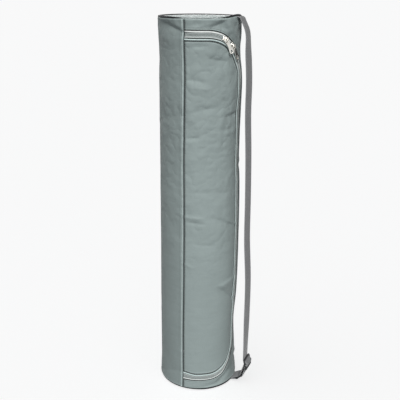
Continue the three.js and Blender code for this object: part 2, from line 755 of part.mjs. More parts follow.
function addCloth() {
  const under = -CLOTH - TAPE_DROP;
  const middle = ZIP_OPENING / 2;
  const between = GAP / 2;
  const strip = (a, b, low, high) => [
    [a, low],
    [a, high],
    [b, high],
    [b, low],
  ];
  add(bag, "wall_panel", makeWallPanel(), CLOTH_GREY);
  add(bag, "door_panel", doorSheet(-HEM_WIDTH - GAP, -CLOTH, 0, GAP), CLOTH_GREY);
  const hem = [
    [0, -CLOTH],
    [-HEM_WIDTH, -CLOTH],
    [-HEM_WIDTH, HEM_RISE * 0.4],
    [-HEM_WIDTH * 0.7, HEM_RISE],
    [-HEM_WIDTH * 0.25, HEM_RISE],
    [0, HEM_RISE * 0.3],
  ];
  add(bag, "door_hem", edgeStrip(hem), CLOTH_GREY);
  const reach = HEM_WIDTH + TAPE_OVERLAP;
  add(bag, "zip_tape_door", edgeStrip(strip(-reach, middle - between, under - TAPE, under)), TAPE_GREY);
  const outerReach = ZIP_OPENING + TAPE_OVERLAP;
  add(bag, "zip_tape_wall", edgeStrip(strip(middle + between, outerReach, under - TAPE, under)), TAPE_GREY);
  const coil = strip(middle - COIL_WIDTH / 2, middle + COIL_WIDTH / 2, under + GAP, coilTop);
  add(bag, "zip_coil", edgeStrip(coil), TAPE_GREY);
}

function addEnds() {
  const inside = onBag(0, 0).length() - PIPING_THICKNESS - GAP;
  const insideTop = SECTIONS[SECTIONS.length - 1].radius * BAG_RADIUS;
  add(bag, "base_panel", makeEndPanel(0, inside, 0), CLOTH_GREY);
  add(bag, "base_piping", makePiping(0, SECTIONS[0].radius * BAG_RADIUS), SEAM_BLACK);
  const low = BAG_HEIGHT - PANEL - TOP_DOME;
  add(bag, "top_panel", makeEndPanel(low, insideTop - PIPING_THICKNESS - GAP, TOP_DOME), CLOTH_GREY);
  add(bag, "top_piping", makePiping(BAG_HEIGHT - PIPING_THICKNESS, insideTop), SEAM_BLACK);
}

function addZipHardware() {
  for (const { name, corner, turned } of SLIDERS) {
    const frame = zipFrame(corner);
    const slider = placed(new THREE.Group(), frame);
    bag.add(slider);
    add(slider, `zip_slider_${name}`, makeSlider(), NICKEL);
    const pull = add(slider, `zip_pull_${name}`, makePull(), NICKEL);
    pull.position.set(0, 0, pullHeight);
    pull.rotation.set(0, restTip(frame, radians(turned)), -radians(turned), "ZYX");
  }
}

function addStrap() {
  const { top, run, loop } = makeStrap();
  add(bag, "strap_top", top, WEBBING_GREY);
  add(bag, "strap", run, WEBBING_GREY);
  add(bag, "strap_loop", loop, WEBBING_GREY);
  add(bag, "strap_tab", makeTab(), WEBBING_GREY);
  const lay = (name, bars, pitch, middle, up) => {
    const mesh = add(bag, name, makeFitting(bars, pitch), PLASTIC_BLACK);
    const across = new THREE.Vector3(0, 1, 0);
    const rise = new THREE.Vector3(up.x, 0, up.y);
    const out = across.clone().cross(rise);
    mesh.position.set(middle.x, 0, middle.z);
    mesh.quaternion.setFromRotationMatrix(new THREE.Matrix4().makeBasis(across, rise, out));
  };
  lay("strap_adjuster", 3, ADJUSTER_PITCH, adjuster, adjuster.up);
  const middle = { x: (ringIn.x + ringOut.x) / 2, z: (ringIn.z + ringOut.z) / 2 };
  const up = new THREE.Vector2(Math.cos(radians(RING_LEAN)), Math.sin(radians(RING_LEAN)));
  lay("strap_ring", 2, RING_PITCH, middle, up);
}

addCloth();
addEnds();
addZipHardware();
addStrap();

export default bag;
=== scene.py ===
# A full-zip bag for a rolled yoga mat, standing on its base: cloth, zip, strap, stitching, light and camera.
# Lengths are in metres, in the part's frame: +Z runs up the bag and +X points to the strap. An angle is
# measured in degrees round the bag from the lapped seam, at -Y, towards +X.

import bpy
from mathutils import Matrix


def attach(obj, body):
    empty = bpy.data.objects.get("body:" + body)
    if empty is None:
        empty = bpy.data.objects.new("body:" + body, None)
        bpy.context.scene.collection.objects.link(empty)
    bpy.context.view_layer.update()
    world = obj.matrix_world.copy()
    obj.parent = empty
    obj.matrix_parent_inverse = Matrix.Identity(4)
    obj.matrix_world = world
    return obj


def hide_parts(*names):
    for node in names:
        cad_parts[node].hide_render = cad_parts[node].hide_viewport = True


bl_info = {
    "name": "Yoga mat bag",
    "version": (1, 0, 0),
    "blender": (4, 5, 0),
    "location": "3D View > Sidebar > Mat bag",
    "description": "Builds the cloth, zip, strap and stitching of a full-zip bag for a rolled yoga mat",
    "category": "Object",
}

import math
from collections import namedtuple

import bmesh
import bpy
import numpy as np
from mathutils import Matrix, Vector

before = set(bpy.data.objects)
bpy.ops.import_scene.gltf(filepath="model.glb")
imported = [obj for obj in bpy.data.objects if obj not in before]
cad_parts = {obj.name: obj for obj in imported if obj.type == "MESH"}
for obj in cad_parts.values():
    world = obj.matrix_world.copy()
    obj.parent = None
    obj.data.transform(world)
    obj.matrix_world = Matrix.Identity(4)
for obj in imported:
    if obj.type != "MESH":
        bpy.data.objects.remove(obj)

# Cross-sections up the bag: height as a share of the bag's height, radius as a share of its radius, and how
# far the section is shifted towards the side to which it leans, as a share of the radius.
Section = namedtuple("Section", "height radius shift")
SECTIONS = [
    Section(0.0, 1.012, 0.0),
    Section(0.012, 1.014, 0.0),
    Section(0.06, 0.988, -0.004),
    Section(0.16, 0.992, -0.002),
    Section(0.24, 0.996, 0.006),
    Section(0.34, 1.002, 0.02),
    Section(0.42, 1.003, 0.025),
    Section(0.5, 1.001, 0.026),
    Section(0.58, 0.994, 0.022),
    Section(0.64, 0.98, 0.012),
    Section(0.7, 0.982, 0.014),
    Section(0.77, 0.989, 0.019),
    Section(0.835, 0.996, 0.027),
    Section(0.87, 0.985, 0.022),
    Section(0.9, 0.964, 0.01),
    Section(0.925, 0.961, 0.002),
    Section(0.948, 0.976, 0.003),
    Section(0.972, 0.984, 0.0),
    Section(0.988, 0.984, 0.0),
    Section(1.0, 0.97, 0.0),
]

# Soft dents: angle and half-width in degrees, height and half-height as shares of the bag's height, and
# depth as a share of its radius, below zero where the cloth swells.
Dent = namedtuple("Dent", "angle height half_width half_height depth")
DENTS = [
    Dent(-24, 0.978, 24, 0.02, 0.03),
    Dent(49, 0.976, 20, 0.018, 0.026),
    Dent(20, 0.93, 22, 0.03, -0.02),
    Dent(45, 0.86, 26, 0.05, 0.018),
    Dent(78, 0.765, 16, 0.03, 0.02),
    Dent(28, 0.7, 22, 0.06, 0.01),
    Dent(12, 0.45, 16, 0.03, 0.012),
    Dent(68, 0.28, 16, 0.03, 0.016),
    Dent(200, 0.6, 40, 0.12, 0.02),
    Dent(240, 0.25, 30, 0.1, 0.014),
    Dent(82, 0.5, 15, 2.0, 0.016),
    Dent(108, 0.17, 22, 0.06, 0.05),
]

# Creases: angle and slope in degrees, height as a share of the bag's height, and length, width, depth and
# edge as shares of its radius. With depth, the cloth stands out above a crease and falls in below it. Edge
# is a sharp ridge above zero and a sharp valley below it.
Crease = namedtuple("Crease", "angle height slope length width depth edge", defaults=(0,))
CREASES = [
    # Above the door
    Crease(-16, 0.975, -18, 0.95, 0.1, 0.016, -0.05),
    Crease(-48, 0.985, 12, 0.4, 0.1, 0.01),
    Crease(14, 0.982, 8, 0.45, 0.12, 0, -0.025),
    Crease(28, 0.978, 10, 0.3, 0.05, 0.006, -0.013),
    Crease(47, 0.982, 18, 0.42, 0.11, 0.014, -0.045),
    Crease(66, 0.966, -48, 0.65, 0.11, 0.045, -0.02),
    Crease(74, 0.988, -15, 0.7, 0.1, 0, 0.02),
    # The door's upper part
    Crease(20, 0.932, 5, 0.45, 0.09, -0.012, -0.022),
    Crease(49, 0.9, -8, 0.5, 0.12, 0.014, -0.045),
    Crease(28, 0.875, 0, 0.25, 0.05, 0, -0.016),
    Crease(84, 0.85, 75, 0.5, 0.09, 0.012),
    Crease(15, 0.852, -6, 0.42, 0.1, -0.008, -0.04),
    Crease(20, 0.835, -2, 0.5, 0.1, 0, 0.03),
    Crease(32, 0.784, 10, 0.7, 0.12, 0, -0.04),
    Crease(62, 0.795, -45, 0.4, 0.1, 0, -0.03),
    Crease(71, 0.764, 4, 0.42, 0.08, 0.014, -0.04),
    Crease(11, 0.71, 5, 0.42, 0.07, -0.008, -0.025),
    Crease(64, 0.73, 6, 0.35, 0.1, 0, -0.02),
    # The door's middle and lower part
    Crease(40, 0.57, -4, 1.1, 0.12, 0, -0.016),
    Crease(12, 0.506, -4, 0.5, 0.06, -0.008, 0.025),
    Crease(17, 0.49, -5, 0.45, 0.07, 0, -0.025),
    Crease(60, 0.487, -25, 0.85, 0.1, 0.008, -0.028),
    Crease(77, 0.478, -25, 0.45, 0.06, 0, 0.02),
    Crease(29, 0.43, -3, 0.55, 0.1, 0, -0.018),
    Crease(5, 0.372, -20, 0.3, 0.06, 0, 0.014),
    Crease(68, 0.314, 8, 0.7, 0.11, -0.012, 0.024),
    Crease(68, 0.28, -38, 0.9, 0.11, 0.014, -0.036),
    # Near the base
    Crease(13, 0.011, 2, 0.5, 0.06, 0, 0.01),
    Crease(45, 0.012, 10, 0.65, 0.07, 0, -0.018),
    Crease(66, 0.03, 22, 0.5, 0.08, 0.03, -0.03),
    Crease(76, 0.07, 55, 0.6, 0.1, 0.014, -0.02),
    Crease(-32, 0.035, 20, 1.2, 0.12, 0, -0.012),
    # Left of the seam, and round the back
    Crease(-20, 0.76, 15, 0.8, 0.15, 0, -0.01),
    Crease(-27, 0.43, 8, 1.0, 0.15, 0, 0.007),
    Crease(-95, 0.955, 16, 0.9, 0.12, 0.034),
    Crease(-140, 0.972, -22, 0.8, 0.12, 0.036),
    Crease(176, 0.95, 20, 0.9, 0.12, 0.034),
    Crease(130, 0.97, -24, 0.7, 0.11, 0.036),
    Crease(128, 0.62, -12, 0.8, 0.09, 0.022),
    Crease(-120, 0.52, 14, 0.9, 0.09, 0.02),
    Crease(-84, 0.74, -10, 0.7, 0.08, 0.014),
    Crease(170, 0.36, -10, 0.9, 0.09, 0.022),
    Crease(-150, 0.78, 10, 0.8, 0.08, 0.016),
    Crease(-160, 0.06, 9, 0.9, 0.08, 0.022),
    Crease(125, 0.055, -14, 0.7, 0.08, 0.03),
    Crease(-90, 0.2, -8, 0.8, 0.08, 0.014),
]

# The strap's run from the top seam down to the adjuster: height as a share of the bag's height, and distance
# from the bag as a share of the strap's slack.
StrapPlace = namedtuple("StrapPlace", "height stand_off")
STRAP_RUN = [
    StrapPlace(0.965, 0.5),
    StrapPlace(0.92, 0.58),
    StrapPlace(0.85, 0.68),
    StrapPlace(0.76, 0.68),
    StrapPlace(0.66, 0.775),
    StrapPlace(0.54, 0.83),
    StrapPlace(0.43, 0.85),
    StrapPlace(0.31, 1.0),
    StrapPlace(0.19, 0.99),
    StrapPlace(0.095, 0.965),
]

# How far the cloth is turned about the bag's axis: height as a share of the bag's height, and degrees.
CLOTH_TURN = [(0.0, -0.9), (0.55, -0.6), (0.75, 0.0), (0.9, 0.8), (1.0, 0.9)]

# Faint waves of hanging cloth: rise as a share of the bag's radius, how far the wave goes on with each radian
# round the bag and with each radius up it, and where it starts, in radians.
Wave = namedtuple("Wave", "rise round_bag up start")
WAVES = [
    Wave(0.0011, 5, 2.3, 0),
    Wave(0.0009, 9, -3.1, 1),
    Wave(0.0007, 4, 6.7, 2),
    Wave(0.0005, 13, 9.1, 0),
]

# Folds fade out over this share of the bag's height at both ends.
FOLD_FADE = 0.012
# A crease's edge: how fast it falls away, how round its crest is, and where on that round it is full.
CREST_FALL, CREST_ROUND, CREST_LEVEL = 1.6, 0.02, 0.14
# The strap lifts the top seam beside it: middle and half-width of that place in degrees, and the share of the
# bag's height at which the lift starts and over which it grows.
LIFT_ANGLE, LIFT_HALF_WIDTH = 84, 22
LIFT_START, LIFT_REACH = 0.955, 0.045
# The door's lower edge hangs down: the height over which that fades, its share of the sag at the seam, and
# the distance from the seam at which it is full.
HANG_HEIGHT, HANG_AT_SEAM, HANG_FULL = 0.1, 0.2, 0.026
# Points round a corner of the door, for each step that its radius holds.
CORNER_POINTS = 1.8

# Painted shade on the wall left of the seam: how dark, how many radians round, and over how many it fades.
LEFT_SHADE, LEFT_REACH, LEFT_FADE = 0.15, 1.6, 0.9
# Painted shade beside the zip's free side: how dark, and its middle and half-width in radians from the seam.
BAND_SHADE, BAND_MIDDLE, BAND_HALF_WIDTH = 0.75, 1.9, 0.17
# Painted shade in the hollow under the zip's lower corner, with its height and half-height in metres too.
HOLLOW_SHADE, HOLLOW_MIDDLE, HOLLOW_HALF_WIDTH = 0.45, 1.42, 0.26
HOLLOW_HEIGHT, HOLLOW_HALF_HEIGHT = 0.045, 0.03
# The door's free side, which turns away from the light below a height: its width, that height, and the
# height over which this fades. Then how dark the shade painted on the door's cloth is there, how much darker
# low down, and how far the painted shade reaches in.
SIDE_WIDTH, SIDE_TOP, SIDE_FADE = 0.012, 0.62, 0.06
SIDE_SHADE, SIDE_SHADE_LOW, SIDE_SHADE_REACH = 0.25, 0.4, 0.006
# The hem's uneven rise: how much of it, and two ripples in radians for each point along it.
HEM_SWELL, HEM_RIPPLE, HEM_LONG_RIPPLE = 0.07, 0.31, 0.073

# The tapes, in metres: spacing of their points, width of the slope where they swell up, and the rise and
# pitch of their woven ribs. Then the rise of their beads.
TAPE_STEP, TAPE_SLOPE = 0.0004, 0.0014
RIB_RISE, RIB_PITCH = 0.00008, 0.0016
BEAD_RISE = 0.0011
# A bead's painted highlight is bright in the middle, and that falls off with the distance across it in
# half-widths. The one beside the wall's edge is the brighter of the two.
BEAD_BRIGHT, BEAD_FALL = 1.7, 1.4
OUTER_BEAD, INNER_BEAD = 1.0, 0.55
# Painted shade in lines beside a bead: how dark, and their distance and width in half-widths of the bead.
LINE_SHADE, LINE_MIDDLE, LINE_WIDTH = 0.5, 1.25, 0.3
# Painted shade on the tapes under the cloth's edges: how far it reaches out and over how far it fades.
TAPE_SHADE_REACH, TAPE_SHADE_FADE = 0.0015, 0.0006
# Painted shade low on the tapes: height and fade, how much their beads' highlight dims, how dark the rest is.
LOW_TAPE_HEIGHT, LOW_TAPE_FADE = 0.03, 0.05
LOW_BEAD_DIM, LOW_TAPE_SHADE = 0.2, 0.42
# How dark the painted shade is on the tapes beside the door's free side.
SIDE_TAPE_SHADE = 0.8
# A tooth: its rise above the flat of the tapes, its half-length and half-width as shares of the teeth's
# length and pitch, its half-height, and how far each of the two rows is set along.
TOOTH_RISE, TOOTH_HALF_HEIGHT = 0.0014, 0.0011
TOOTH_HALF_LENGTH, TOOTH_HALF_WIDTH = 0.31, 0.36
TOOTH_ROWS = ((-1, 0.001), (1, 0.0004))

# Rings of points on the round ends, as shares of their radius, closer together at the rim.
END_RINGS = [*np.linspace(0.02, 0.9, 30), 0.93, 0.955, 0.975, 0.99, 1.0]
# The top panel: how far its middle lies below the bag's top, depth and width of the tuck at its rim, and
# height of its ripples, with the radians that they go on with each metre to the right and back.
TOP_DROP, TUCK_DEPTH, TUCK_WIDTH = 0.0004, 0.0012, 0.02
END_RIPPLE, RIPPLE_RIGHT, RIPPLE_BACK = 0.0003, 60, 35
# The base panel: how far it stands off the floor at the rim, and how much higher it is in the middle.
BASE_FOOT, BASE_ARCH = 0.0003, 0.0012
# The ends are rubbed pale at the rim, from this share of the radius and over this one.
END_WORN, END_WORN_WIDTH = 0.94, 0.06
BINDING_SIDES = 14

# The webbing: spacing of its points, and from where and over what share of its half-width it is worn.
WEBBING_STEP = 0.0011
WEBBING_WORN, WEBBING_WORN_WIDTH = 0.8, 0.2
# Its section from an edge to near the middle: place across as a share of the half-width, and rise as a
# share of half the thickness. The other edge and the underside mirror it.
WEBBING_SECTION = [
    (1.0, 0.25),
    (0.985, 0.62),
    (0.95, 0.88),
    (0.88, 1),
    (0.7, 1),
    (0.45, 1),
    (0.15, 1),
]
# The strap leaves the seam in a bend through these shares of a quarter turn, and starts this far under it.
BEND_PLACES = (0.25, 0.6, 0.9)
UNDER_SEAM = 0.0015
# Between these heights the strap is turned about its length, and it turns over these ones.
TWIST_LOW, TWIST_IN = 0.06, 0.08
TWIST_HIGH, TWIST_OUT = 0.67, 0.04
# Points along a long line, and the angle between two points where webbing goes round a bar.
LINE_POINTS = 400
BAR_STEP = math.radians(9)

# Points nearer than this are one point, in a line or hard piece and in sewn cloth.
SAME_PLACE, SEWN_WITHIN = 1e-6, 2e-6
# The rounded edges of hard pieces: width, and the angle in degrees from which an edge is rounded.
EDGE_WIDTH, EDGE_ANGLE = 0.00012, 35
# Rings of a small rounded bar: place along it and thickness, as shares.
BAR_RINGS = [(-1.0, 0.45), (-0.78, 0.88), (-0.4, 1.0), (0.4, 1.0), (0.78, 0.88), (1.0, 0.45)]
BAR_SIDES = 6

# Profiles, in metres. The lapped seam ends the wall's way round the bag: distance from that end, rise and
# painted light. Beside it the cloth is drawn into a ditch: distance from the seam, rise and painted light.
# Painted light is a highlight above zero, as on the lap's ridge, and shade below zero, as in the ditch.
SEAM_LAP = [
    (-0.0105, 0.0, -0.12),
    (-0.0084, 0.0002, -0.1),
    (-0.0068, 0.0002, 0.05),
    (-0.0061, -0.0001, -0.15),
    (-0.0055, 0.0003, 0.1),
    (-0.0047, 0.001, 0.5),
    (-0.0037, 0.0014, 0.8),
    (-0.0026, 0.0014, 0.7),
    (-0.0016, 0.001, 0.1),
    (-0.0009, 0.0005, -0.4),
    (-0.0004, 0.0001, -0.85),
    (0.0, 0.0, -0.9),
]
SEAM_DITCH = [
    (0.0, 0.0, -0.9),
    (0.0005, -0.0006, -0.9),
    (0.001, -0.0008, -0.9),
    (0.0016, -0.0005, -0.65),
    (0.0022, -0.0002, -0.3),
    (0.003, 0.0, -0.1),
    (0.0044, 0.0, 0.0),
]

# The wall's rolled rims: distance down from the top, or up from the base, rise, and painted highlight and
# shade.
TOP_RIM = [
    (0.0105, 0.0, 0.0),
    (0.009, 0.0, 0.0),
    (0.0078, 0.0001, 0.0),
    (0.0068, 0.0002, 0.0),
    (0.0058, 0.0004, 0.0),
    (0.0048, 0.0006, 0.0),
    (0.0039, 0.0006, 0.1),
    (0.0032, 0.0003, 0.3),
    (0.0028, -0.0004, 0.1),
    (0.003, -0.0015, -1.0),
]
BASE_RIM = [
    (0.0105, 0.0, 0.0),
    (0.0085, 0.0, 0.0),
    (0.0072, 0.0001, 0.0),
    (0.0062, 0.0003, 0.1),
    (0.0052, 0.0005, 0.2),
    (0.0043, 0.0004, 0.2),
    (0.0035, 0.0, 0.1),
    (0.003, -0.0007, 0.0),
    (0.0029, -0.0015, -0.6),
]

# Thickness of the dark bindings round the ends, as a share of the full one, by angle: beside the strap its
# folded root makes the upper one thicker, and where the wall's rim rolls over it less of it shows.
BINDING_SIZE = [
    (0, 0.42),
    (10, 0.3),
    (44, 0.3),
    (58, 0.8),
    (72, 1.35),
    (95, 1.45),
    (112, 1.0),
    (150, 0.6),
    (285, 0.9),
    (298, 1.5),
    (335, 1.45),
    (352, 0.8),
    (360, 0.42),
]
# The base binding is thicker towards the strap, where it also stands in for the shadow along the base.
BASE_BINDING_SIZE = [
    (0, 0.35),
    (20, 0.6),
    (40, 1.2),
    (60, 1.6),
    (90, 1.5),
    (120, 0.9),
    (200, 0.6),
    (290, 0.35),
    (360, 0.35),
]

# The wall's edge round the zip, folded under: distance out from the edge, rise, and painted highlight and
# shade.
WALL_EDGE = [
    (0.003, -0.0015, -1.0),
    (0.0003, -0.0015, -1.0),
    (0.0, -0.0011, -1.0),
    (-0.0001, -0.0006, -1.0),
    (0.0001, -0.0001, -0.7),
    (0.0005, 0.00025, -0.1),
    (0.0011, 0.0004, 0.2),
    (0.0018, 0.00025, 0.1),
    (0.0024, -0.00015, -0.2),
    (0.0029, -0.0002, -0.2),
    (0.0035, 0.0, 0.0),
    (0.0046, 0.0001, 0.0),
    (0.006, 0.00005, 0.0),
    (0.008, 0.0, 0.0),
]

# The stitched ditch in the door's cloth inside its hem: distance in from the door's edge, rise, and painted
# highlight and shade.
DOOR_DITCH = [
    (0.008, 0.0, 0.0),
    (0.0068, 0.0001, 0.3),
    (0.006, 0.00015, 0.4),
    (0.0054, 0.0, 0.0),
    (0.0049, -0.0003, -0.7),
    (0.0044, -0.0006, -1.0),
    (0.0039, -0.0007, -1.0),
    (0.0035, -0.0008, -1.0),
    (0.0033, -0.0015, -1.0),
]

# The hem's section: distance in from the door's edge as a share of its width, height as a share of its rise
# or, below the cloth's face, of the cloth's thickness, and painted highlight on its crest and shade at its
# sides.
HEM_PROFILE = [
    (0.0, -0.9, -1.0),
    (0.0, -0.2, -1.0),
    (0.03, 0.3, -0.4),
    (0.14, 0.72, 0.5),
    (0.3, 1.05, 0.9),
    (0.5, 1.25, 1.0),
    (0.7, 1.1, 0.8),
    (0.88, 0.7, 0.2),
    (0.97, 0.1, -0.7),
    (1.0, -0.4, -1.0),
    (1.0, -0.9, -1.0),
    (0.5, -0.95, -1.0),
]

# Soft lights: how many degrees each stands to the camera's right, its level distance and height, the height
# at which it aims, its width and height, its power in watts and its colour.
Lamp = namedtuple("Lamp", "name side distance height aim width tall power colour")
LAMPS = [
    Lamp("low_bounce", -4, 0.9, 0.3, 0.2, 1.0, 0.5, 2.4, (0.97, 0.985, 1.0)),
    Lamp("left_edge", -122, 1.6, 0.6, 0.3, 0.7, 1.4, 4.0, (0.97, 0.985, 1.0)),
    Lamp("back", -168, 2.4, 1.5, 0.3, 1.6, 1.4, 22.0, (1.0, 0.99, 0.98)),
]

# The wide light on the floor: how large it looks, and its tilts, in degrees. The key light's colour.
FLOOR_LIGHT_SIZE, FLOOR_LIGHT_BACK, FLOOR_LIGHT_SIDE = 110, 12, -32
KEY_COLOUR = (1.0, 0.99, 0.975)
SKY_COLOUR = (0.97, 0.985, 1)
# The camera's sensor in millimetres, and how far it sees.
SENSOR_WIDTH, VIEW_END = 36.0, 500.0
# Darkness and colour of the shade painted on the cloth deep in its folds and ditches.
PAINTED_FOLD_SHADE, PAINTED_FOLD_SHADE_COLOUR = 0.9, (0.012, 0.014, 0.014)
# The floor: half its width, how far it lies under the bag, and how much darker its darker places are.
FLOOR_HALF, FLOOR_DROP, FLOOR_MOTTLE = 60.0, 0.0004, 0.995

# Rows of stitches: distance from the edge or seam that each follows, and rise.
STITCH_ROWS = {
    "hem": (0.0041, -0.0005),
    "wall": (0.0027, -0.0001),
    "seam": (0.0013, -0.0006),
    "lap": (0.0022, 0.00112),
}
# Half-sizes of a stitch in the cloth and in the strap, the pitch of the stitches, and how far from the two
# ends the seam's rows stop.
CLOTH_STITCH = (0.00115, 0.00028, 0.00022)
STRAP_STITCH = (0.001, 0.00025, 0.0002)
STITCH_PITCH, ROW_END = 0.0032, 0.006
# The strap's two rows: their places above the adjuster's middle, half-length and count of stitches.
STRAP_ROWS, STRAP_ROW_HALF, STRAP_ROW_COUNT = (0.0006, 0.0022), 0.0105, 9


def length(name, description, default):
    return bpy.props.FloatProperty(
        name=name, description=description, default=default, min=0.0, precision=5, unit="LENGTH"
    )


def turn(name, description, default):
    return bpy.props.FloatProperty(
        name=name, description=description, default=math.radians(default), precision=4, unit="ROTATION"
    )


def colour(name, description, default):
    return bpy.props.FloatVectorProperty(
        name=name, description=description, default=default, size=3, min=0.0, max=1.0, subtype="COLOR"
    )


def strength(name, description, default):
    return bpy.props.FloatProperty(name=name, description=description, default=default, min=0.0)


class BagSizes(bpy.types.PropertyGroup):
    height: length("Height", "Height of the bag", 0.7)
    radius: length("Radius", "Radius that the cross-sections are shares of", 0.074)
    cloth: length("Cloth", "Thickness of the cloth with its folds", 0.0015)
    dome: length("Dome", "How far the top panel swells in the middle", 0.0022)
    piping: length("Piping", "Thickness of the dark seam round each end", 0.0026)
    gap: length("Gap", "Clearance between two pieces that touch", 0.0003)
    lean: turn("Lean", "Side to which the filled bag bulges", 110)
    rim_lift: length("Rim lift", "How far the strap pulls the top seam up beside it", 0.0034)
    mesh_step: length("Mesh step", "Spacing of the cloth's vertices", 0.002)


class DoorSizes(bpy.types.PropertyGroup):
    width: length("Width", "Width of the door, round the bag from the seam", 0.113)
    bottom: length("Bottom", "Height of the door's lower edge", 0.034)
    top_margin: length("Top margin", "Distance from the door's upper edge to the top", 0.034)
    top_corner: length("Top corner", "Radius of the upper free corner", 0.074)
    bottom_corner: length("Bottom corner", "Radius of the lower free corner", 0.064)
    hem: length("Hem", "Width of the raised hem", 0.003)
    hem_rise: length("Hem rise", "Height of the raised hem", 0.0009)
    sag: length("Sag", "How far the door's lower edge hangs down towards the wall's", 0.0042)
    border: length("Border", "Width of the finely modelled border beside the hem", 0.008)


class ZipSizes(bpy.types.PropertyGroup):
    opening: length("Opening", "Width of tape between the hem and the wall", 0.014)
    tape: length("Tape", "Thickness of the tape", 0.0008)
    overlap: length("Overlap", "How far the tapes reach under the cloth", 0.004)
    drop: length("Drop", "Distance from the tape up to the cloth above it", 0.0006)
    bead: length("Bead", "Width of the bright bead along the outer tape", 0.0026)
    bead_inset: length("Bead inset", "Distance from the wall's edge to the bead's middle", 0.0029)
    inner_bead: length("Inner bead", "Width of the fainter bead beside the hem", 0.0017)
    inner_inset: length("Inner inset", "Distance from the hem to the fainter bead's middle", 0.0021)
    raised: length("Raised", "How far the tape swells up between the cloth edges", 0.0011)
    tooth_pitch: length("Tooth pitch", "Distance between two teeth", 0.0013)
    tooth_length: length("Tooth length", "Length of a tooth across the zip", 0.0034)


class StrapSizes(bpy.types.PropertyGroup):
    width: length("Width", "Width of the webbing", 0.025)
    thickness: length("Thickness", "Thickness of the webbing", 0.0015)
    slack: length("Slack", "Furthest that the strap stands off the bag", 0.027)
    bend: length("Bend", "Radius at which the strap leaves the top seam", 0.006)
    root: length("Root", "Straight stretch where the strap leaves the seam", 0.001)
    tail: length("Tail", "How far the sewn end passes the adjuster's middle bar", 0.001)
    bar: length("Bar", "Thickness of the fittings' bars", 0.0032)
    adjuster_pitch: length("Adjuster pitch", "Distance between the adjuster's bars", 0.0095)
    adjuster_height: length("Adjuster height", "Height of the adjuster's middle", 0.041)
    adjuster_stand_off: length("Adjuster stand-off", "Distance of its middle from the bag", 0.0305)
    adjuster_lean: turn("Adjuster lean", "Tilt of the adjuster towards the bag", 12)
    ring_pitch: length("Ring pitch", "Distance between the ring's bars", 0.011)
    ring_stand_off: length("Ring stand-off", "Distance from the bag to the ring's inner bar", 0.0135)
    ring_height: length("Ring height", "Height of the ring's inner bar", 0.0076)
    ring_lean: turn("Ring lean", "Slope of the ring above the floor", 40)
    twist: turn("Twist", "How far the hanging strap turns about its length", 6)
    tab_height: length("Tab height", "Height of the tab's lower layer", 0.0021)
    tab_pitch: length("Tab pitch", "Height between the tab's layers at the seam", 0.002)


class Finishes(bpy.types.PropertyGroup):
    cloth: colour("Cloth", "Grey-green coated cloth", (0.247, 0.294, 0.291))
    tape: colour("Tape", "Zip tape", (0.36, 0.4, 0.395))
    # The bead colour is a painted highlight along the tape.
    bead: colour("Bead", "Bright bead along the tape", (0.72, 0.75, 0.74))
    thread: colour("Thread", "Stitching", (0.2, 0.235, 0.232))
    webbing: colour("Webbing", "Strap webbing", (0.172, 0.176, 0.182))
    seam: colour("Seam binding", "Black binding round each end", (0.012, 0.013, 0.014))
    plastic: colour("Plastic", "Black moulded fittings", (0.02, 0.021, 0.022))
    metal: colour("Metal", "Plated sliders and pulls", (0.76, 0.75, 0.7))


class StageSettings(bpy.types.PropertyGroup):
    view: turn("View", "Direction of the camera round the bag", 22)
    distance: length("Distance", "Level distance from the bag's axis to the camera", 1.203)
    offset: length("Offset", "How far the camera stands to the right of the axis", 0.0019)
    camera_height: length("Camera height", "Height of the camera", 0.758)
    pitch: turn("Pitch", "How far the camera looks down", 18.13)
    roll: turn("Roll", "Roll of the camera", 0.31)
    lens: bpy.props.FloatProperty(name="Lens", description="Focal length", default=60.5, unit="CAMERA")
    floor: colour("Floor", "Pale floor", (0.9, 0.905, 0.91))
    floor_glow: strength("Floor glow", "Brightness that the floor has without any light on it", 0.745)
    lights: strength("Lights", "Strength of all the lamps together", 1.0)
    sky: strength("Sky", "Strength of the light from all around", 0.1)
    reflected: strength("Reflected", "Brightness of the surroundings as glossy pieces mirror them", 0.75)
    key: strength("Key light", "Strength of the large soft light above the camera", 3.3)
    key_side: turn("Key side", "How far the key light stands to the camera's right", 8)
    key_rise: turn("Key rise", "How high the key light stands", 44)
    key_spread: turn("Key spread", "How large the key light looks from the bag", 24)
    floor_light: strength("Floor light", "Strength of the wide light on the floor", 0.47)
    backdrop: strength("Backdrop", "Brightness of the white surroundings", 0.97)


def settings(name):
    return getattr(bpy.context.scene, name)


# Curves and surfaces


def smooth_between(x, xs, ys):
    """Values at x on a smooth curve through points, with no overshoot."""
    xs = np.asarray(xs, float)
    ys = np.asarray(ys, float)
    x = np.clip(np.asarray(x, float), xs[0], xs[-1])
    steps = np.diff(xs)
    slopes = np.diff(ys) / steps
    before, after = slopes[:-1], slopes[1:]
    same_way = before * after > 0
    mean = np.where(same_way, 2 * before * after / np.where(same_way, before + after, 1), 0)
    tangents = np.concatenate([slopes[:1], mean, slopes[-1:]])
    i = np.clip(np.searchsorted(xs, x, side="right") - 1, 0, len(steps) - 1)
    t = (x - xs[i]) / steps[i]
    bend_in = (1 + 2 * t) * (1 - t) ** 2 * ys[i] + t * t * (3 - 2 * t) * ys[i + 1]
    return bend_in + steps[i] * (t * (1 - t) ** 2 * tangents[i] - t * t * (1 - t) * tangents[i + 1])


def ease(share):
    t = np.clip(share, 0, 1)
    return t * t * (3 - 2 * t)


def from_angle(angle, middle):
    """Degrees from a middle angle, the short way round."""
    return (angle - middle + 180) % 360 - 180


